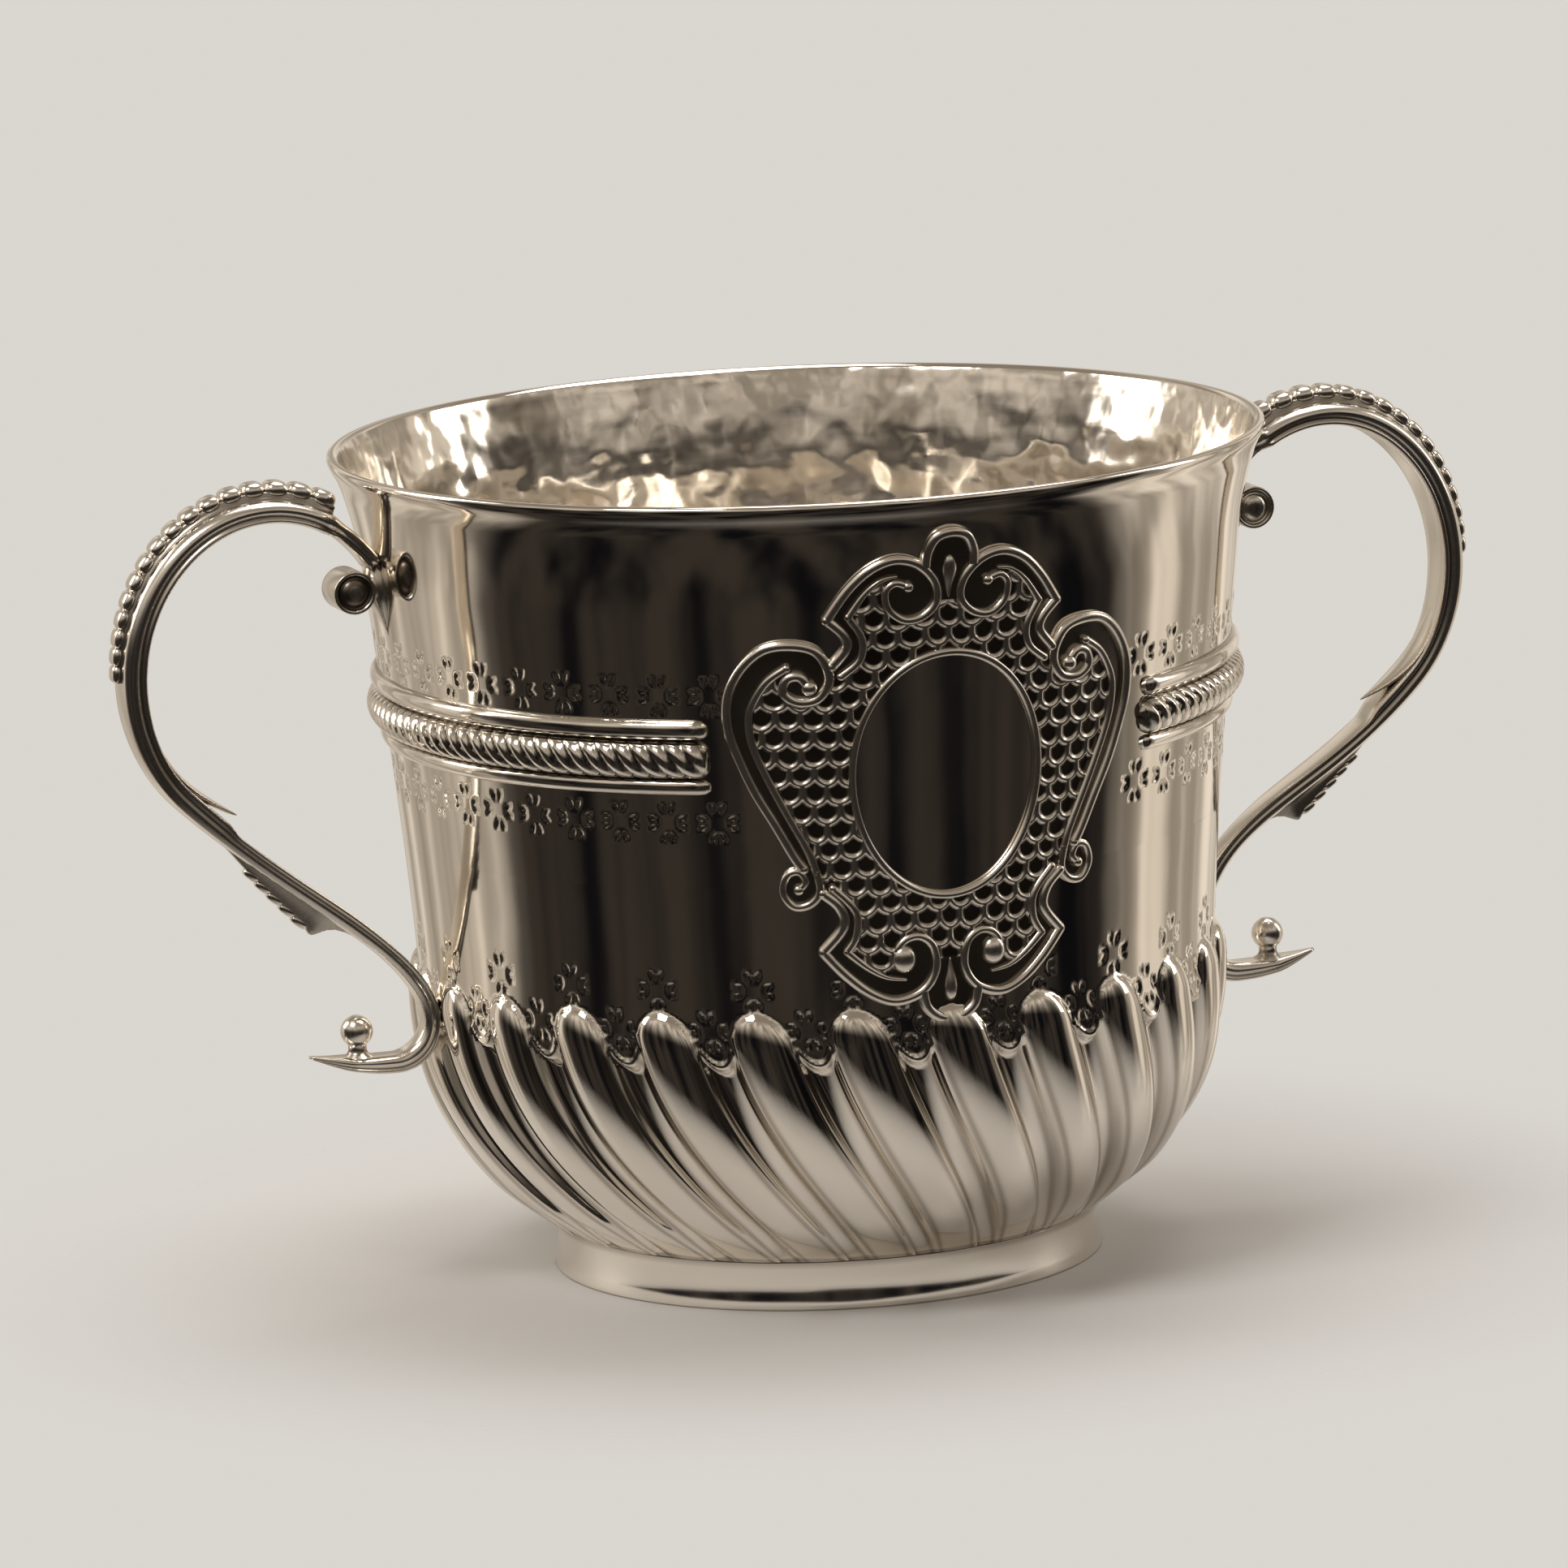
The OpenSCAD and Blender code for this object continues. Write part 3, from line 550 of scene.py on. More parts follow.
girdle = {
    "cordZ": 78.6, "cordHigh": 5.2, "cordOut": 2.2, "strands": 150, "strandSteps": 8, "strandRun": 3.4,
    "strandRound": 0.6, "strandLow": 0.66, "cordShade": 0.8,
    "upperHigh": 2.8, "upperOut": 1.2, "lowerHigh": 2.2, "lowerOut": 0.9, "reedSteps": 12, "reedSectors": 26,
    "reedShade": 0.9, "gap": 31.5, "sink": 0.1, "sectionSteps": 12, "endRound": 2.2, "endHigh": 0.35,
}


def wireOnWall(middle, high, out, perSector, sectors):  # half-round wire, open at the cartouche
    bm = bmesh.new()
    shape = bm.verts.layers.float.new("section")
    section = []
    for angle in evenly(0, math.pi, girdle["sectionSteps"]):
        z = middle + high / 2 * math.cos(angle)
        section.append((wallRadius(z) - girdle["sink"] + (out + girdle["sink"]) * math.sin(angle), z))
    for i, v in enumerate(drawLine(bm, section, True)):
        v[shape] = i / girdle["sectionSteps"]
    start = math.radians(cup["front"] + girdle["gap"])
    span = math.radians(360 - 2 * girdle["gap"])
    bmesh.ops.rotate(bm, cent=(0, 0, 0), matrix=Matrix.Rotation(start, 3, "Z"), verts=bm.verts)
    spinSectors(bm, span, perSector, sectors)
    bmesh.ops.holes_fill(bm, edges=[e for e in bm.edges if e.is_boundary], sides=0)
    bmesh.ops.recalc_face_normals(bm, faces=bm.faces)
    return bm, shape, start, span


def alongGirdle(v, start):
    run = (math.atan2(v.co.y, v.co.x) - start) % (2 * math.pi)
    return 0.0 if run > 2 * math.pi - 0.01 else run


def endTaper(run, span):  # 1 along the wire, rounded off at both ends
    near = min(run, span - run) * cup["bellyRadius"] / girdle["endRound"]
    return math.sqrt(max(0.0, 1 - max(0.0, 1 - near) ** 2))


def shapeWire(v, middle, taper, share):  # draws the wire in to its middle line and stands it off by share
    radius = math.hypot(v.co.x, v.co.y)
    stand = (radius - wallRadius(v.co.z) + girdle["sink"]) * taper * share
    z = middle + (v.co.z - middle) * mix(girdle["endHigh"], 1.0, taper)
    v.co.xy *= (wallRadius(z) - girdle["sink"] + stand) / radius
    v.co.z = z


def makeReed(name, node, middle, high, out):
    bm, shape, start, span = wireOnWall(middle, high, out, girdle["reedSteps"], girdle["reedSectors"])
    recess = recessLayer(bm)
    for v in bm.verts:
        shapeWire(v, middle, endTaper(alongGirdle(v, start), span), 1.0)
        # painted shade along both edges, where the reed meets the wall
        v[recess] = girdle["reedShade"] * (1 - math.sin(math.pi * v[shape])) ** 2
    finishPiece(name, bm, "chased", node)


def makeCord():
    strands = round(girdle["strands"] * (1 - girdle["gap"] / 180))
    middle, high = girdle["cordZ"], girdle["cordHigh"]
    bm, shape, start, span = wireOnWall(middle, high, girdle["cordOut"], girdle["strandSteps"], strands)
    recess = recessLayer(bm)
    for v in bm.verts:
        run = alongGirdle(v, start)
        lean = (v.co.z - middle) / high * girdle["strandRun"] / cup["bellyRadius"]
        ridge = abs(math.sin(math.pi * (run + lean) / span * strands)) ** girdle["strandRound"]
        shapeWire(v, middle, endTaper(run, span), mix(girdle["strandLow"], 1.0, ridge))
        # painted shade between the strands and along both edges at the wall
        seam = girdle["cordShade"] * (1 - math.sin(math.pi * v[shape])) ** 3
        v[recess] = min(1.0, (1 - ridge) ** 1.5 + seam)
    finishPiece("girdleCord", bm, "chased", "girdle_cord")


upperZ = girdle["cordZ"] + (girdle["cordHigh"] + girdle["upperHigh"]) / 2
lowerZ = girdle["cordZ"] - (girdle["cordHigh"] + girdle["lowerHigh"]) / 2
makeReed("girdleUpperReed", "girdle_upper_reed", upperZ, girdle["upperHigh"], girdle["upperOut"])
makeReed("girdleLowerReed", "girdle_lower_reed", lowerZ, girdle["lowerHigh"], girdle["lowerOut"])
makeCord()

# cartouche: ridges are drawn on the left half, as distance round the wall and height

cartouche = {
    "ridge": 0.76, "ridgeOut": 0.36, "innerShare": 0.82, "eyeShare": 1.45, "bossRadius": 1.75,
    "groundOut": 0.36, "cell": 0.2, "least": 0.06, "valleySink": 0.2, "valleyShade": 0.8,
    "scalePitch": 3.25, "scaleRow": 2.55, "scaleEdge": 0.38, "scaleMiddle": 0.45, "rimIn": 0.54,
    "rimOut": 0.4, "scaleDrift": 0.4, "driftScale": 0.22, "scaleShade": 0.95, "shadePower": 2.2,
    "ovalHalfWide": 12.4, "ovalHalfHigh": 15.9, "ovalZ": 75.3, "ovalClear": 0.5,
    "borderGrow": 0.55, "borderOut": 0.3, "borderWire": 0.58, "borderSteps": 160, "rightShare": 0.962,
}
ridges = {
    "topScrollOuter": [(-15.6, 97.1), (-13, 100.9), (-10.2, 103.6), (-7.1, 104.8), (-4.2, 104), (-2, 101.6),
                       (-1.6, 98.9), (-3.3, 96.9), (-5.8, 96.5), (-7.8, 98.1), (-8.2, 100.4), (-7, 101.6),
                       (-5.3, 101)],
    "topScrollInner": [(-12.9, 97.4), (-10.8, 100.4), (-8.7, 102.1), (-6.8, 102.5)],
    "shoulderOuter": [(-15.6, 97.1), (-13.6, 95.1), (-13.2, 93.3), (-15.2, 90.9)],
    "shoulderInner": [(-12.9, 97.4), (-11.2, 94.3), (-11.6, 91.5), (-14, 89.5)],
    "sideScrollOuter": [(-18.1, 88.2), (-19.3, 89.7), (-20.9, 89.4), (-21.4, 87.6), (-19.6, 86.3),
                        (-17.1, 86.6), (-15.6, 88.7), (-15.8, 90.9), (-17.3, 93.1), (-20.1, 93.9),
                        (-23.4, 93.6), (-26, 91.7), (-28, 88.7), (-28.8, 85.6), (-28.6, 82.2), (-27.5, 78.7),
                        (-25.7, 74.3), (-23.3, 69.9), (-21, 65.5), (-19.8, 63.7)],
    "sideScrollInner": [(-20.9, 90.9), (-23.4, 89.2), (-25.3, 86.4), (-26, 84.0), (-25.6, 80.4), (-23.9, 76),
                        (-21.6, 71.1), (-19.0, 65.9), (-18.1, 63.2)],
    "lowerCurl": [(-18.1, 63.2), (-17.7, 60.6), (-19.1, 58.9), (-21.3, 58.7), (-22.7, 60.7), (-22, 62.9),
                  (-20.4, 63.3), (-19.6, 61.9), (-20.6, 60.9)],
    "lowerNotchOuter": [(-17.4, 60.3), (-15.2, 58.3), (-14.7, 55.6), (-17.6, 52.3)],
    "lowerNotchInner": [(-16, 60.9), (-13.1, 57.7), (-13, 54.4), (-14.4, 52.2)],
    "bottomScrollOuter": [(-17.6, 52.3), (-14.7, 49.1), (-11.2, 46.3), (-7.7, 45.1), (-4, 46.2), (-2.1, 49),
                          (-2.5, 52.1), (-4.3, 53.6), (-6.3, 53.3), (-7.5, 51.9), (-6.9, 50.5)],
    "bottomScrollInner": [(-14.4, 52.2), (-11.7, 49.9), (-9.1, 48.4), (-6.4, 47.9)],
}
middleRidges = {
    "topBud": [(-3.1, 103.6), (-2.9, 105.6), (-1.9, 107.5), (0, 108.1), (1.9, 107.5), (2.9, 105.6),
               (3.1, 103.6)],
    "bottomBud": [(-4, 46.2), (-3.5, 44.0), (-2, 42.6), (0, 42.1), (2, 42.6), (3.5, 44.0), (4, 46.2)],
}
ridgeTips = {"topScrollOuter": 0.7, "bottomScrollOuter": 0.7, "lowerCurl": 0.7, "topScrollInner": 0.25,
             "bottomScrollInner": 0.25}  # share of the thickness left at the last point
scrollEyes = {"topScrollOuter": -1, "sideScrollOuter": 0, "lowerCurl": -1}  # the end with a round eye
drops = {"top": (98.9, 104.9, 1.15), "bottom": (50.4, 44.4, 1.2)}  # narrow end, round end and its radius

# the whole frame's edge, and the edge of the scaled ground in it, mostly along the ridges
outline = [(0, 108.1), (-2.4, 107), (-3, 104.5), (-4.2, 104.2)] + ridges["topScrollOuter"][3::-1]
outline += ridges["shoulderOuter"][1:3] + [(-14.9, 91.5)] + ridges["sideScrollOuter"][8:19]
outline += [(-20.4, 63.5), (-22.5, 62), (-22.3, 59.6), (-20, 58.7), (-17.6, 60.2)]
outline += ridges["lowerNotchOuter"][1:3] + ridges["bottomScrollOuter"][:4]
outline += [(-4.5, 46), (-3.6, 44.0), (-2, 42.6), (0, 42.1)]
ground = [(0, 98.6), (-1.6, 98.7)] + ridges["topScrollOuter"][7:11] + [(-8.6, 102.1)]
ground += ridges["topScrollInner"][1::-1] + ridges["shoulderInner"][1:] + ridges["sideScrollOuter"][6:2:-1]
ground += [(-21.6, 90.4)] + ridges["sideScrollInner"][1:] + ridges["lowerNotchInner"][:3]
ground += ridges["bottomScrollInner"][:3] + [(-7, 50.4)] + ridges["bottomScrollOuter"][9:5:-1]
ground += [(-1.6, 50.4), (0, 50.4)]


def toSide(s):  # the right half was chased a little narrower than the left
    return s * cartouche["rightShare"] if s > 0 else s


def bothHalves(points):
    return points + [(toSide(-s), z) for s, z in points[::-1]]


def crossings(polygon, z):
    cuts = []
    for (s0, z0), (s1, z1) in zip(polygon, polygon[1:] + polygon[:1]):
        if (z0 > z) != (z1 > z):
            cuts.append((s1 - s0) * (z - z0) / (z1 - z0) + s0)
    return cuts


def insideTest(polygon):  # every height on the grid is cut only once
    rows = {}

    def isInside(s, z):
        key = round(z, 3)
        if key not in rows:
            rows[key] = crossings(polygon, z)
        return sum(1 for cut in rows[key] if cut > s) % 2 == 1

    return isInside


def smoothLine(points, steps):  # curve through the listed points
    line = []
    for k in range(len(points) - 1):
        a, b = Vector(points[max(k - 1, 0)]), Vector(points[k])
        c, d = Vector(points[k + 1]), Vector(points[min(k + 2, len(points) - 1)])
        for i in range(steps):
            t = i / steps
            line.append(0.5 * (2 * b + (c - a) * t + (2 * a - 5 * b + 4 * c - d) * t * t
                               + (3 * b - a - 3 * c + d) * t ** 3))
    return line + [Vector(points[-1])]


def addWire(bm, places, radii, closed=False):  # round wire along the places, as a bevelled curve made a mesh
    curve = bpy.data.curves.new("wire", "CURVE")
    curve.dimensions = "3D"
    curve.bevel_depth = 1.0
    curve.bevel_resolution = 2
    curve.use_fill_caps = True
    spline = curve.splines.new("POLY")
    spline.points.add(len(places) - 1)
    spline.use_cyclic_u = closed
    for point, place, radius in zip(spline.points, places, radii):
        point.co = (*place, 1)
        point.radius = radius
    carrier = bpy.data.objects.new("wire", curve)
    bm.from_mesh(carrier.to_mesh())
    carrier.to_mesh_clear()
    bpy.data.objects.remove(carrier)
    bpy.data.curves.remove(curve)


def ridgeRadii(count, startShare, endShare):
    return [cartouche["ridge"] * share for share in evenly(startShare, endShare, count - 1)]


def scaleHeight(s, z):  # overlapping scales: each has a raised round lower edge
    pitch, row = cartouche["scalePitch"], cartouche["scaleRow"]
    place = Vector((s, z, 0)) * cartouche["driftScale"]
    s += cartouche["scaleDrift"] * noise.noise(place)
    z += cartouche["scaleDrift"] * noise.noise(place + Vector((40, 0, 0)))
    base = math.floor(z / row)
    height = 0.0
    for j in (base + 2, base + 1, base, base - 1):  # from the scales on top to those below
        middle = j * row
        shift = pitch / 2 if j % 2 else 0.0
        across = (s - shift + pitch / 2) % pitch - pitch / 2
        inward = pitch / 2 - (math.hypot(across, z - middle) if z < middle else abs(across))
        if inward >= 0:
            return max(height, 1 - (inward / cartouche["rimIn"]) ** 2)
        if z < middle:
            height = max(height, 1 - (inward / cartouche["rimOut"]) ** 2)
    return height


def addGround(bm, recess):
    low, high = outline[-1][1], outline[0][1]
    wide = 2 * max(-s for s, z in outline)
    cell, clear = cartouche["cell"], cartouche["ovalClear"]
    inOutline, inGround = insideTest(bothHalves(outline)), insideTest(bothHalves(ground))
    columns, rows = round(wide / cell), round((high - low) / cell)
    verts = bmesh.ops.create_grid(bm, x_segments=columns, y_segments=rows, size=0.5)["verts"]
    for v in verts:
        v.co = Vector((v.co.x * wide, mix(low, high, v.co.y + 0.5), 0))
    spare = []
    for f in {f for v in verts for f in v.link_faces}:
        s, z = f.calc_center_median().xy
        oval = math.hypot(s / (cartouche["ovalHalfWide"] + clear),
                          (z - cartouche["ovalZ"]) / (cartouche["ovalHalfHigh"] + clear))
        if oval < 1 or not inOutline(s, z):
            spare.append(f)
    bmesh.ops.delete(bm, geom=spare, context="FACES")
    for v in [v for v in verts if v.is_valid]:
        s, z = v.co.xy
        # painted shade deep in the scale pockets and in the valleys between the ridges
        if inGround(s, z):
            edge = scaleHeight(s, z)
            out = cartouche["groundOut"] + cartouche["scaleEdge"] * (edge - cartouche["scaleMiddle"])
            v[recess] = cartouche["scaleShade"] * (1 - edge) ** cartouche["shadePower"]
        else:
            out = cartouche["groundOut"] - cartouche["valleySink"]
            v[recess] = cartouche["valleyShade"]
        v.co = onWall(s, z, max(cartouche["least"], out))


def ballVerts(bm, around, rows, radius=1.0):
    return bmesh.ops.create_uvsphere(bm, u_segments=around, v_segments=rows, radius=radius)["verts"]


def addDrop(bm, narrow, broad, radius):  # tear drop between two scrolls
    for v in ballVerts(bm, 20, 14):
        along = (v.co.y + 1) / 2
        slim = radius * mix(0.28, 1.0, smoothStep(along * 1.15))
        v.co = onWall(v.co.x * slim, mix(narrow, broad, along), 0.15 + 0.85 * slim * v.co.z)


def addKnob(bm, s, z, radius):  # rounds off the end of a ridge, or the corner where two meet
    for v in ballVerts(bm, 12, 8, radius):
        v.co = onWall(s + v.co.x, z + v.co.y, cartouche["ridgeOut"] + v.co.z)


def addBoss(bm, s, z):  # fills the eye of a lower scroll
    for v in ballVerts(bm, 20, 14, cartouche["bossRadius"]):
        v.co = onWall(s + v.co.x, z + 1.1 * v.co.y, 0.25 + 0.75 * v.co.z)


def makeCartouche():
    bm = bmesh.new()
    recess = recessLayer(bm)
    for name, points in ridges.items():
        line = smoothLine(points, 5)
        thin = cartouche["innerShare"] if "Inner" in name or "Curl" in name else 1.0
        radii = ridgeRadii(len(line), thin, ridgeTips.get(name, thin))
        for side in (1, -1):
            addWire(bm, [onWall(toSide(side * p.x), p.y, cartouche["ridgeOut"]) for p in line], radii)
            for end in (0, -1):
                eye = cartouche["eyeShare"] if scrollEyes.get(name) == end else 1.0
                addKnob(bm, toSide(side * line[end].x), line[end].y, eye * radii[end])
    for points in middleRidges.values():
        line = smoothLine(points, 6)
        places = [onWall(p.x, p.y, cartouche["ridgeOut"]) for p in line]
        addWire(bm, places, ridgeRadii(len(line), 1.0, 1.0))
    for narrow, broad, radius in drops.values():
        addDrop(bm, narrow, broad, radius)
    s, z = ridges["bottomScrollOuter"][-1]
    for side in (1, -1):
        addBoss(bm, toSide(side * (s + 0.3)), z + 0.2)
    addGround(bm, recess)  # last, because small shapes are slow to add to a big mesh
    bmesh.ops.recalc_face_normals(bm, faces=bm.faces)
    finishPiece("cartoucheScrolls", bm, "frame", "cartouche_frame")


def makeOvalBorder():
    bm = bmesh.new()
    count = cartouche["borderSteps"]
    halfWide = cartouche["ovalHalfWide"] + cartouche["borderGrow"]
    halfHigh = cartouche["ovalHalfHigh"] + cartouche["borderGrow"]
    places = []
    for angle in evenly(0, 2 * math.pi, count)[:-1]:
        z = cartouche["ovalZ"] + halfHigh * math.sin(angle)
        places.append(onWall(halfWide * math.cos(angle), z, cartouche["borderOut"]))
    addWire(bm, places, [cartouche["borderWire"]] * count, closed=True)
    recessLayer(bm)
    finishPiece("ovalBorder", bm, "frame", "oval_border")


makeCartouche()
makeOvalBorder()

# handles: the path runs over the loop, down the arm, round the curl and along the leaf, one unit each

handle = {
    "loopZ": 87.3, "loopHalfHigh": 21.9, "loopStart": 142.0, "loopEnd": -48.0, "armLead": 24.0,
    "strapThick": 2.6, "strapWide": 8.4, "lowerJointZ": 41.0, "curlRadius": 5.4, "leafLength": 11.6,
    "leafRise": 1.8, "leafBend": 0.48, "spurHigh": 0.55, "spurFrom": 0.84, "spurTip": 1.09, "spurBack": 1.135,
    "leafTip": 1.105, "tipLift": 2.3, "tipSink": 0.42, "tipWide": 0.46, "grooveAt": -0.18, "grooveWide": 0.07,
    "grooveShade": 0.8,
    "thickShares": [(0, 0.84), (0.1, 0.8), (0.125, 1.05), (0.5, 1.25), (0.8, 1.2), (1, 1), (1.12, 0.85),
                    (1.45, 0.9), (1.6, 0.8), (2, 0.86), (2.6, 1.02), (3.2, 0.9), (3.6, 0.66), (4, 0.14)],
    "wideShares": [(0, 0.66), (0.1, 0.66), (0.125, 0.94), (0.3, 1), (0.6, 0.9), (1, 0.7), (1.5, 0.5),
                   (2, 0.46), (3, 0.54), (3.5, 0.6), (4, 0.1)],
}
handleSides = {  # the two castings differ a little, and the painted shade in the volute's hollow is set per side
    "left": {"loopOut": 21.3, "loopHalfWide": 19.0, "armLift": 0.6, "armDrop": 8.0, "voluteOut": 0.7,
             "voluteShade": 0.85},
    "right": {"loopOut": 21.2, "loopHalfWide": 18.5, "armLift": 1.2, "armDrop": 13.0, "voluteOut": 1.7,
              "voluteShade": 0.1},
}
curlOut = wallRadius(handle["lowerJointZ"]) + 0.43 * handle["strapThick"] + handle["curlRadius"]
handle["curlMiddle"] = Vector((curlOut, handle["lowerJointZ"] - 3))


def onLoop(angle):
    angle = math.radians(angle)
    reach = Vector((handle["loopHalfWide"] * math.cos(angle), handle["loopHalfHigh"] * math.sin(angle)))
    return handle["loopMiddle"] + reach


def handlePath(u):
    curl, radius = handle["curlMiddle"], handle["curlRadius"]
    if u <= 1:
        return onLoop(mix(handle["loopStart"], handle["loopEnd"], u))
    if u <= 2:
        t = u - 1
        angle = math.radians(handle["loopEnd"])
        lead = Vector((handle["loopHalfWide"] * math.sin(angle), -handle["loopHalfHigh"] * math.cos(angle)))
        a, d = onLoop(handle["loopEnd"]), curl - Vector((radius, 0))
        b, c = a + lead.normalized() * handle["armLead"], d + Vector((0, handle["armDrop"]))
        lift = Vector((-0.6, 0.8)) * handle["armLift"] * math.sin(math.pi * t) ** 2
        return a * (1 - t) ** 3 + b * 3 * t * (1 - t) ** 2 + c * 3 * t * t * (1 - t) + d * t ** 3 + lift
    if u <= 3:
        angle = math.radians(mix(180, 270, u - 2))
        return curl + radius * Vector((math.cos(angle), math.sin(angle)))
    t = u - 3
    a = curl - Vector((0, radius))
    b = a + Vector((handle["leafLength"] * handle["leafBend"], 0))
    c = a + Vector((handle["leafLength"], handle["leafRise"]))
    return a * (1 - t) ** 2 + b * 2 * t * (1 - t) + c * t * t


def pathBack(u, step=0.004):  # unit vector towards the strap's back, where the beads lie
    along = (handlePath(min(u + step, 4)) - handlePath(max(u - step, 0))).normalized()
    return Vector((-along.y, along.x))


def strapThick(u):
    return handle["strapThick"] * lookup(handle["thickShares"], u)


def strapWide(u):
    return handle["strapWide"] * lookup(handle["wideShares"], u)


def spur(u):  # low hump on the inner side, under the leaf tip
    start, tip, back = handle["spurFrom"], handle["spurTip"], handle["spurBack"]
    rise = smoothStep((u - start) / (tip - start)) ** 1.5
    return handle["spurHigh"] * rise * smoothStep((back - u) / (back - tip))


def besidePath(u, out, across):  # never further into the wall than a quarter of a millimetre
    p = handlePath(u) + pathBack(u) * out
    touch = math.sqrt(max(0.0, wallRadius(p.y) ** 2 - across * across))
    return Vector((max(p.x, touch - 0.25), across, p.y))


def sweep(bm, section, places, placeOf):  # a flat section, extruded from place to place
    index = bm.verts.layers.int.new("sectionPoint")
    verts = []
    for i, point in enumerate(section):
        v = bm.verts.new(placeOf(places[0], point))
        v[index] = i
        verts.append(v)
    face = bm.faces.new(verts)
    passed = []
    for u in places[1:]:
        grown = bmesh.ops.extrude_face_region(bm, geom=[face])["geom"]
        passed.append(face)
        face = next(g for g in grown if isinstance(g, bmesh.types.BMFace))
        for v in face.verts:
            v.co = placeOf(u, section[v[index]])
    bmesh.ops.delete(bm, geom=passed[1:], context="FACES_ONLY")  # sections left inside the sweep
    bmesh.ops.recalc_face_normals(bm, faces=bm.faces)


# shares of the strap's thickness and width, from the middle of its inner side round to its back
halfSection = [(-0.52, 0.0), (-0.52, 0.22), (-0.50, 0.40), (-0.47, 0.46), (-0.41, 0.492), (-0.33, 0.495),
               (-0.26, 0.472), (-0.20, 0.445), (-0.14, 0.447), (-0.06, 0.476), (0.05, 0.495), (0.15, 0.492),
               (0.25, 0.475), (0.34, 0.445), (0.42, 0.40), (0.48, 0.345), (0.51, 0.28), (0.52, 0.14),
               (0.52, 0.0)]
strapSection = halfSection + [(out, -across) for out, across in halfSection[-2:0:-1]]


def strapPlace(u, point):
    out, across = point
    deep = strapThick(u) * out - (spur(u) if out < 0 else 0.0) * min(1.0, -2 * out)
    return besidePath(u, deep, across * strapWide(u))


def addLeafTip(bm, index):  # pointed tip of the inner rail, free of the arm
    for v in ballVerts(bm, 20, 18):
        x, y, z = v.co
        t = (z + 1) / 2
        u = mix(handle["spurFrom"], handle["leafTip"], t)
        slim = mix(1.0, 1 - t ** 5, 0.9)
        out = -strapThick(u) * handle["tipSink"] - handle["tipLift"] * t ** 2.2 + x * mix(0.75, 0.5, t)
        v.co = besidePath(u, out, y * handle["tipWide"] * strapWide(u) * slim)
        v[index] = 0


def finishHandlePiece(name, bm, side, node):  # all are made on the right, and mirrored for the left
    if side < 0:
        bmesh.ops.scale(bm, vec=(-1, 1, 1), verts=bm.verts)
        bmesh.ops.reverse_faces(bm, faces=bm.faces)
    finishPiece(name, bm, "cast", node)


def makeStrap(side, label):
    bm = bmesh.new()
    start, tip, back = handle["spurFrom"], handle["spurTip"], handle["spurBack"]
    places = evenly(0, start, 72) + evenly(start, tip, 12)[1:] + evenly(tip, back, 5)[1:]
    places += evenly(1.15, 2, 34) + evenly(2.03, 3, 30) + evenly(3.05, 4, 22)
    sweep(bm, strapSection, places, strapPlace)
    recess = recessLayer(bm)
    index = bm.verts.layers.int["sectionPoint"]
    addLeafTip(bm, index)
    for v in bm.verts:
        out, across = strapSection[v[index]]
        # painted shade in the groove along each side of the strap
        groove = bell(out - handle["grooveAt"], handle["grooveWide"]) if abs(across) > 0.3 else 0.0
        v[recess] = handle["grooveShade"] * groove
    finishHandlePiece(label + "HandleStrap", bm, side, label + "_handle")


beads = {
    "from": 0.13, "to": 0.74, "count": 16, "wide": 4.6, "wideEnd": 0.7, "thick": 1.05, "thickEnd": 0.5,
    "grade": 0.24, "full": 0.66, "overlap": 1.2, "highFrom": 1.3, "highTo": 0.75, "paintedShade": 0.6,
    "wedgeFrom": 1.12, "lowerFrom": 1.19, "lowerTo": 1.385, "lowerCount": 5, "lowerWide": 3.0,
    "lowerGrade": -0.12, "lowerHigh": 0.62, "lowerShade": 0.5, "cuspThick": 3.2, "cuspTo": 1.54,
    "mark": 100,  # section point that stands for a bead
}


def bothEdges(half):  # the whole section from one half
    return [(out, -across) for out, across in half] + half[::-1]


def beadPlace(u0, u1, count, grade, i):
    x = i / count
    return mix(u0, u1, x + grade * x * (1 - x))


def plump(x):  # fuller than a sphere, so that neighbours close up
    return math.copysign(abs(x) ** beads["full"], x)


def addBeads(bm, u0, u1, count, grade, wide, high, lift):  # the last three depend on the share of the way
    index = bm.verts.layers.int["sectionPoint"]
    for k in range(count):
        u = beadPlace(u0, u1, count, grade, k + 0.5)
        ends = [handlePath(beadPlace(u0, u1, count, grade, k + e)) for e in (0, 1)]
        half = (ends[1] - ends[0]).length / 2
        along = (ends[1] - ends[0]).normalized()
        back = pathBack(u)
        share = (k + 0.5) / count
        middle = handlePath(u) + back * (strapThick(u) / 2 + lift(share))
        for v in ballVerts(bm, 20, 14):
            x, y, z = v.co
            p = middle + along * (plump(x) * half * beads["overlap"]) + back * (z * high(share))
            v.co = Vector((p.x, plump(y) * wide(share) / 2, p.y))
            v[index] = beads["mark"]


def finishBeads(name, bm, side, node, paintedShade):  # painted shade between the beads
    recess = recessLayer(bm)
    index = bm.verts.layers.int["sectionPoint"]
    for v in bm.verts:
        v[recess] = 0.0 if v[index] == beads["mark"] else paintedShade
    finishHandlePiece(name, bm, side, node)


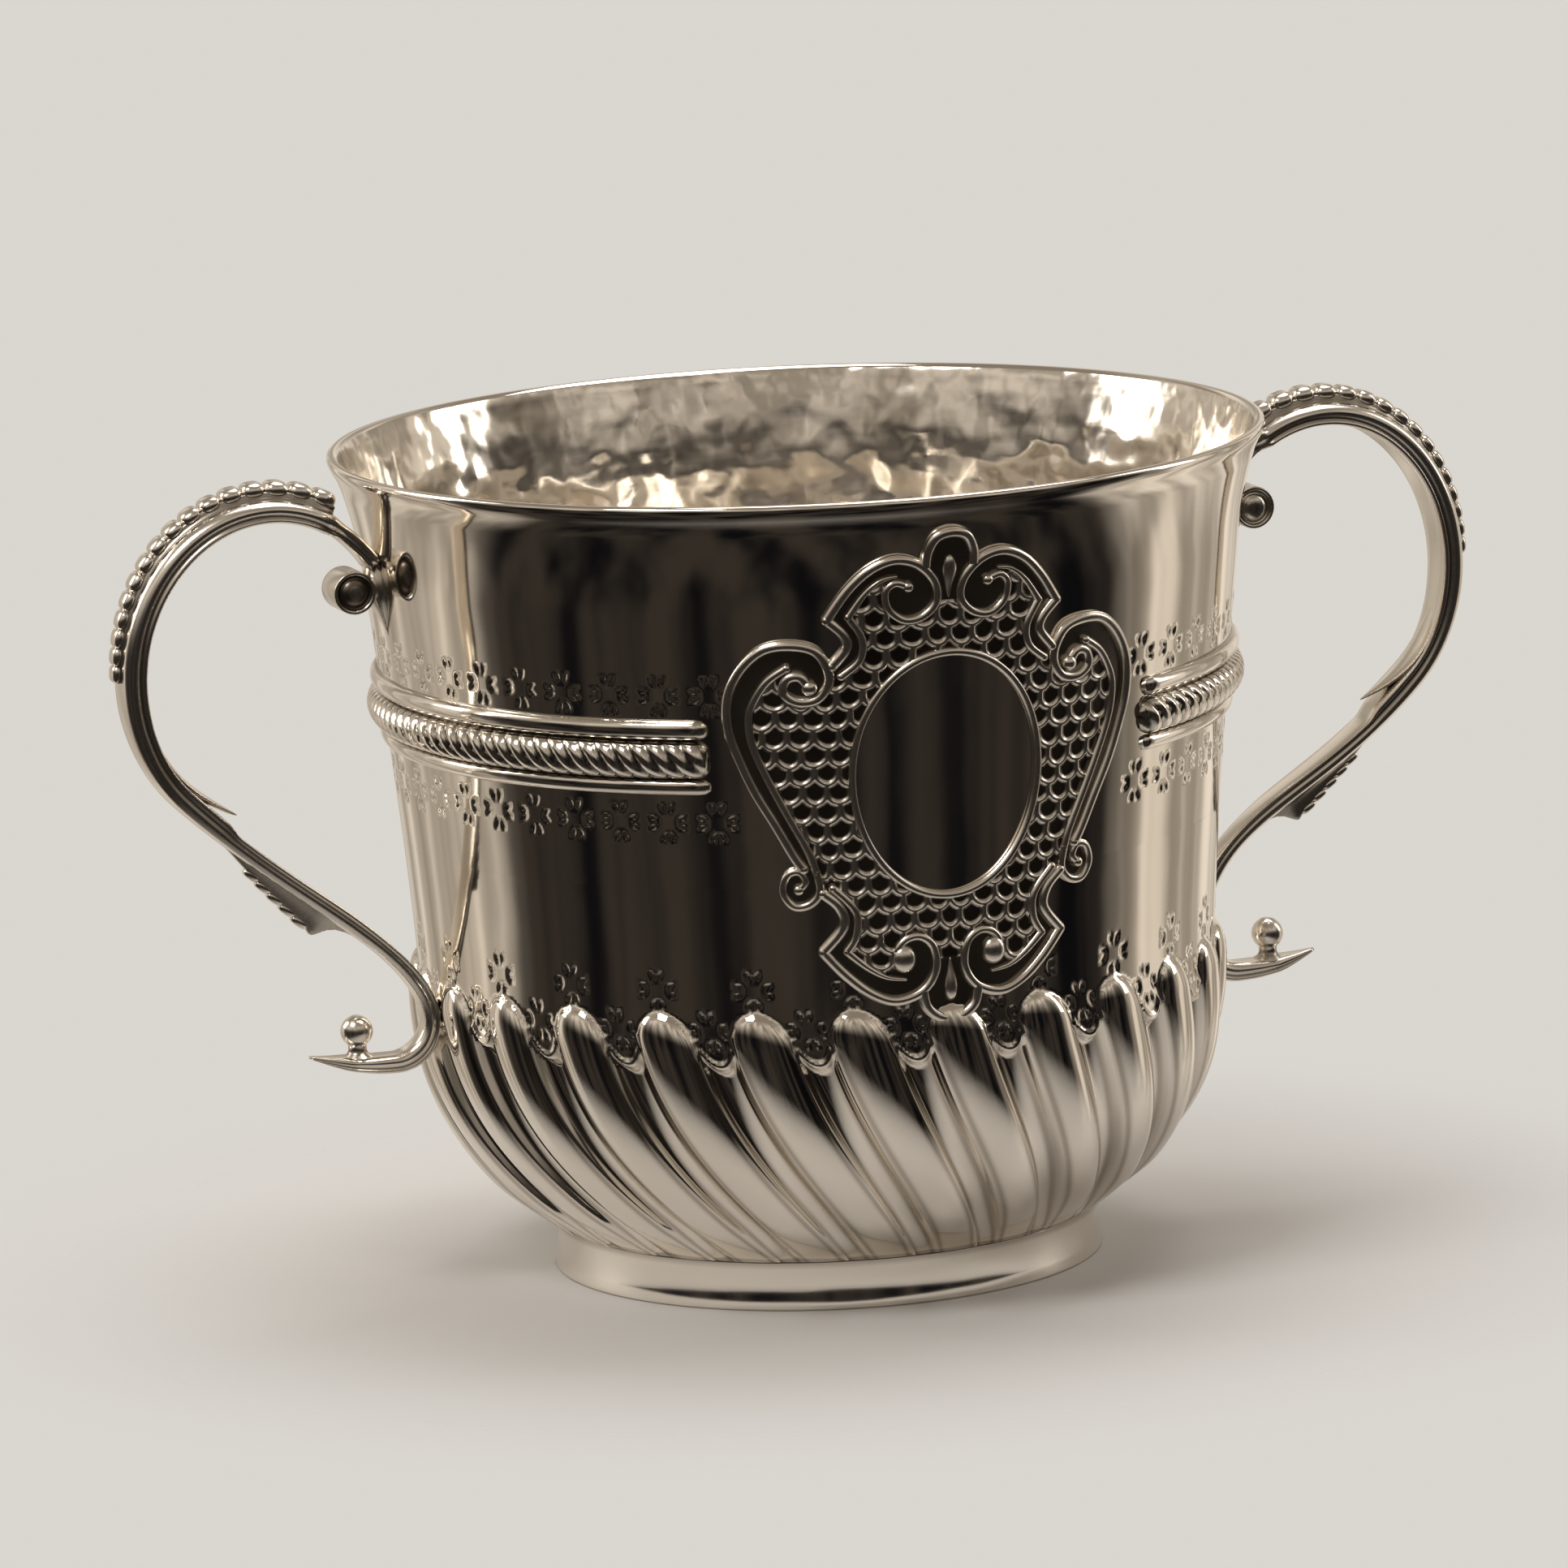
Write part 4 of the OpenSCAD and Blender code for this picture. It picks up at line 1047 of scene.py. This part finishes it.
def makeBeadStrip(side, label):
    bm = bmesh.new()
    u0, u1 = beads["from"], beads["to"]
    section = bothEdges([(-0.3, 0.5), (0.1, 0.5), (0.3, 0.43), (0.6, 0.385), (0.9, 0.38), (1.05, 0.3)])

    def narrow(x):
        return beads["wide"] * mix(1.0, beads["wideEnd"], x * x)

    def rise(x):
        return beads["thick"] * mix(1.0, beads["thickEnd"], x * x)

    def place(u, p):
        x = (u - u0) / (u1 - u0)
        return besidePath(u, strapThick(u) / 2 + rise(x) * p[0], p[1] * narrow(x) * 0.96)

    sweep(bm, section, evenly(u0, u1, 60), place)
    addBeads(bm, u0, u1, beads["count"], beads["grade"], lambda x: narrow(x) * 0.9,
             lambda x: mix(beads["highFrom"], beads["highTo"], x), lambda x: rise(x) * mix(1.3, 0.8, x))
    finishBeads(label + "BeadStrip", bm, side, label + "_bead_strip", beads["paintedShade"])


def makeLowerBeads(side, label):  # wedge under the arm: beads, then a cusp that thins out along the arm
    bm = bmesh.new()
    section = bothEdges([(-0.3, 0.5), (0.0, 0.49), (0.25, 0.36), (0.5, 0.27), (0.8, 0.22), (0.95, 0.19),
                         (1.0, 0.1)])
    u0, start, u1, u2 = beads["wedgeFrom"], beads["lowerFrom"], beads["lowerTo"], beads["cuspTo"]
    depths = [(u0, 0.06), (1.2, 0.36), (u1, 0.94), (u1 + 0.016, 1.06), (u1 + 0.026, 1.0), (u1 + 0.036, 0.78),
              (u1 + 0.05, 0.5), (u1 + 0.07, 0.28), (u1 + 0.1, 0.14), (u2, 0.02)]
    widths = [(u0, 1.0), (u1, 1.15), (u1 + 0.05, 0.95), (u2, 0.6)]

    def grow(u):
        return beads["cuspThick"] * lookup(depths, u)

    def place(u, p):
        wide = beads["lowerWide"] * lookup(widths, u)
        return besidePath(u, strapThick(u) / 2 - 0.25 + grow(u) * p[0], p[1] * wide)

    sweep(bm, section, evenly(u0, u2, 64), place)
    addBeads(bm, start, u1, beads["lowerCount"], beads["lowerGrade"], lambda x: beads["lowerWide"] * 0.55,
             lambda x: beads["lowerHigh"], lambda x: grow(mix(start, u1, x)) - 0.3)
    finishBeads(label + "LowerBeads", bm, side, label + "_lower_bead_strip", beads["lowerShade"])


volute = {
    "radius": 2.9, "up": 1.1, "wide": 6.2, "segments": 40, "bevel": 0.17, "dropWide": 5.4, "dropHigh": 7.6,
    "dropTop": 4.0, "dropThick": 2.0, "dropSink": 0.3, "paintedShade": 0.12, "shadeFrom": 0.9, "shadeTo": 2.3,
    "rings": [(0.0, 0.45), (-0.5, 0.25), (0.0, 0.3), (0.4, 0.3), (0.25, 0.5),
              (0.1, 0.5)],  # depth and width of each inset: rim, hollow and round eye
}


def makeVolute(side, label):
    radius, far = volute["radius"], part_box("right_volute")[1]
    middle = Vector((far.x / mm - radius + handle["voluteOut"], far.z / mm - radius + volute["up"]))
    bm = bmesh.new()
    bmesh.ops.create_cone(bm, cap_ends=True, segments=volute["segments"], radius1=radius, radius2=radius,
                          depth=volute["wide"])
    caps = [f for f in bm.faces if len(f.verts) > 4]
    for depth, thick in volute["rings"]:
        bmesh.ops.inset_individual(bm, faces=caps, thickness=thick, depth=depth)
    sharp = [e for e in bm.edges if abs(e.calc_face_angle(0)) > 0.6]
    bmesh.ops.bevel(bm, geom=sharp, offset=volute["bevel"], segments=3, profile=0.5, affect="EDGES",
                    material=-1)
    for v in bm.verts:
        v.co = Vector((middle.x + v.co.x, v.co.z, middle.y + v.co.y))
    for v in ballVerts(bm, 24, 16):  # drop under the scroll
        x, y, z = v.co
        share = (z + 1) / 2  # 0 at the pointed lower end
        slim = mix(0.15, 1.0, smoothStep(share * 1.4))
        height = mix(middle.y - volute["dropHigh"], middle.y + volute["dropTop"], share)
        across = y * volute["dropWide"] / 2 * slim
        touch = math.sqrt(wallRadius(height) ** 2 - across ** 2)
        v.co = Vector((touch - volute["dropSink"] + (x + 0.4) * volute["dropThick"] * slim, across, height))
    bmesh.ops.recalc_face_normals(bm, faces=bm.faces)
    recess = recessLayer(bm)
    for v in bm.verts:
        # painted shadow in the scroll's hollow, set per side, and faint painted shade on the rest
        near = math.hypot(v.co.x - middle.x, v.co.z - middle.y)
        hollow = abs(v.co.y) > 2 and volute["shadeFrom"] < near < volute["shadeTo"]
        v[recess] = handle["voluteShade"] if hollow else volute["paintedShade"]
    finishHandlePiece(label + "HandleVolute", bm, side, label + "_volute")


ball = {
    "steps": 40, "rows": 12, "from": -55.0, "to": 90.0, "paintedShade": 0.85, "shadeUp": 0.9, "shadeWide": 0.6,
    "stem": [(0.0, -0.3), (1.05, -0.3), (0.95, 0.1), (0.66, 0.5), (0.55, 0.95)],  # share of radius, height
}


def makeBall(side, label):
    low, high = (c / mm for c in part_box("right_ball"))
    radius = (high.x - low.x) / 2
    line = [(radius * share, low.z + up) for share, up in ball["stem"]]
    for angle in evenly(ball["from"], ball["to"], ball["rows"]):
        angle = math.radians(angle)
        line.append((radius * math.cos(angle), high.z - radius + radius * math.sin(angle)))
    bm = spinFull(line, ball["steps"], False)
    bmesh.ops.translate(bm, vec=((low.x + high.x) / 2, 0, 0), verts=bm.verts)
    recess = recessLayer(bm)
    for v in bm.verts:
        # painted shade round the stem, just above the ball's foot
        v[recess] = ball["paintedShade"] * bell(v.co.z - low.z - ball["shadeUp"], ball["shadeWide"])
    finishHandlePiece(label + "HandleBall", bm, side, label + "_ball")


for side, label in ((-1, "left"), (1, "right")):
    handle.update(handleSides[label])
    handle["loopMiddle"] = Vector((cup["bellyRadius"] + handle["loopOut"], handle["loopZ"]))
    makeStrap(side, label)
    makeBeadStrip(side, label)
    makeLowerBeads(side, label)
    makeVolute(side, label)
    makeBall(side, label)

# stage, light and camera, in metres

studio = {
    "azimuth": -18.6, "elevation": 10.94, "distance": 1.545, "target": (0, 0, 0.05), "pan": 0.13,
    "tilt": 0.54, "roll": 2.36, "focal": 14000.0, "imageSize": 1932.0, "sensor": 36.0,
    "floor": (0.74, 0.742, 0.745, 1), "floorRough": 0.6, "floorSize": 0.135, "floorFade": 0.056,
}
room = {  # what the silver sees, by direction, and the pale ground behind the cup
    "pale": (0.70, 0.67, 0.63, 1), "dark": (0.004, 0.004, 0.005, 1), "light": (0.038, 0.031, 0.025, 1),
    "wallDim": (0.30, 0.26, 0.21, 1), "wallBright": (0.86, 0.77, 0.66, 1), "ceiling": (0.24, 0.205, 0.165, 1),
    "streakStretch": (3.2, 3.2, 0.25), "streakSize": 1.6, "streakFade": (0.34, 0.68),
    "darkFade": (-0.32, 0.02), "darkTop": (0.6, 0.04), "ceilingFade": (0.4, 0.8),
}
lamps = {  # azimuth from the camera, elevation, distance, width, height, watts and colour
    "leftLight": (-104, 28, 1.3, 0.5, 0.7, 3.4, (1.0, 0.94, 0.86)),
    "rightLight": (104, 24, 1.3, 0.3, 0.9, 2.3, (1.0, 0.94, 0.87)),
    "topLight": (150, 72, 1.2, 0.7, 0.7, 4.6, (1.0, 0.97, 0.94)),
    "frontLight": (-42, 52, 1.3, 0.45, 0.35, 5.2, (1.0, 0.96, 0.91)),
}


def turnPair(a, b, angle):  # turns two square vectors in their plane, a towards b
    angle = math.radians(angle)
    return a * math.cos(angle) + b * math.sin(angle), b * math.cos(angle) - a * math.sin(angle)


def makeCamera():
    el = math.radians(studio["elevation"])
    spin = Matrix.Rotation(math.radians(studio["azimuth"]), 3, "Z")
    back = Vector((0, -math.cos(el), math.sin(el)))
    right = Vector((1, 0, 0))
    up = right.cross(-back)
    forward, right = turnPair(-back, right, -studio["pan"])
    forward, up = turnPair(forward, up, studio["tilt"])
    right, up = turnPair(right, up, -studio["roll"])
    place = Vector(studio["target"]) + spin @ (back * studio["distance"])
    turn = Matrix((spin @ right, spin @ up, spin @ -forward)).transposed()
    data = bpy.data.cameras.new("camera")
    data.sensor_width = studio["sensor"]
    data.lens = studio["sensor"] * studio["focal"] / studio["imageSize"]
    data.clip_end = 20
    camera = bpy.data.objects.new("camera", data)
    camera.matrix_world = Matrix.Translation(place) @ turn.to_4x4()
    bpy.context.scene.collection.objects.link(camera)
    bpy.context.scene.camera = camera


def makeWorld():  # pale all round for the camera, and for the silver a room that is dark in front of the cup
    world = bpy.data.worlds.new("studio")
    bpy.context.scene.world = world
    tree = emptyTree(world)
    az = math.radians(studio["azimuth"])
    look = addNode(tree, "TexCoord").outputs["Generated"]
    toRoom = {0: look, 1: (math.sin(az), -math.cos(az), 0)}
    front = addNode(tree, "VectorMath", toRoom, operation="DOT_PRODUCT").outputs["Value"]
    height = addNode(tree, "SeparateXYZ", {0: look}).outputs["Z"]
    # upright streaks, like the panels of a room
    flat = addNode(tree, "Mapping", {"Vector": look, "Scale": room["streakStretch"]}).outputs["Vector"]
    panels = {"Vector": flat, "Scale": room["streakSize"], "Detail": 2.0}
    streak = ramp(tree, addNode(tree, "TexNoise", panels).outputs["Fac"], *room["streakFade"])
    shades = {0: ramp(tree, front, *room["darkFade"]), 1: ramp(tree, height, *room["darkTop"])}
    dark = addNode(tree, "Math", shades, operation="MULTIPLY").outputs[0]
    bright = blend(tree, streak, room["wallDim"], room["wallBright"])
    walls = blend(tree, ramp(tree, height, *room["ceilingFade"]), bright, room["ceiling"])
    around = blend(tree, dark, walls, blend(tree, streak, room["dark"], room["light"]))
    toCamera = addNode(tree, "LightPath").outputs["Is Camera Ray"]
    shine = addNode(tree, "Background", {"Color": blend(tree, toCamera, around, room["pale"])})
    addNode(tree, "OutputWorld", {"Surface": shine.outputs["Background"]})


def makeFloor():  # round, and clear towards its edge
    bm = bmesh.new()
    bmesh.ops.create_circle(bm, cap_ends=True, segments=96, radius=studio["floorSize"])
    mesh = bpy.data.meshes.new("floor")
    bm.to_mesh(mesh)
    bm.free()
    floor = bpy.data.objects.new("floor", mesh)
    bpy.context.scene.collection.objects.link(floor)
    material = bpy.data.materials.new("paleFloor")
    tree = emptyTree(material)
    look = {"Base Color": studio["floor"], "Roughness": studio["floorRough"]}
    cloth = addNode(tree, "BsdfPrincipled", look)
    clear = addNode(tree, "BsdfTransparent")
    place = addNode(tree, "TexCoord").outputs["Object"]
    reach = addNode(tree, "VectorMath", {0: place}, operation="LENGTH").outputs["Value"]
    fade = ramp(tree, reach, studio["floorFade"], studio["floorSize"])
    shader = addNode(tree, "MixShader", {"Fac": fade, 1: cloth.outputs["BSDF"], 2: clear.outputs["BSDF"]})
    addNode(tree, "OutputMaterial", {"Surface": shader.outputs["Shader"]})
    mesh.materials.append(material)


def makeLamp(name, azimuth, elevation, distance, wide, high, power, color):
    az, el = math.radians(azimuth + studio["azimuth"] - 90), math.radians(elevation)
    place = Vector((math.cos(az) * math.cos(el), math.sin(az) * math.cos(el), math.sin(el))) * distance
    data = bpy.data.lights.new(name, "AREA")
    data.shape = "RECTANGLE"
    data.size, data.size_y = wide, high
    data.energy = power
    data.color = color
    lamp = bpy.data.objects.new(name, data)
    lamp.location = place + Vector(studio["target"])
    lamp.rotation_euler = (-place).to_track_quat("-Z", "Y").to_euler()
    bpy.context.scene.collection.objects.link(lamp)


makeCamera()
makeWorld()
makeFloor()
for name, values in lamps.items():
    makeLamp(name, *values)
bpy.context.scene.view_settings.view_transform = "Standard"
print("stage and lights set")
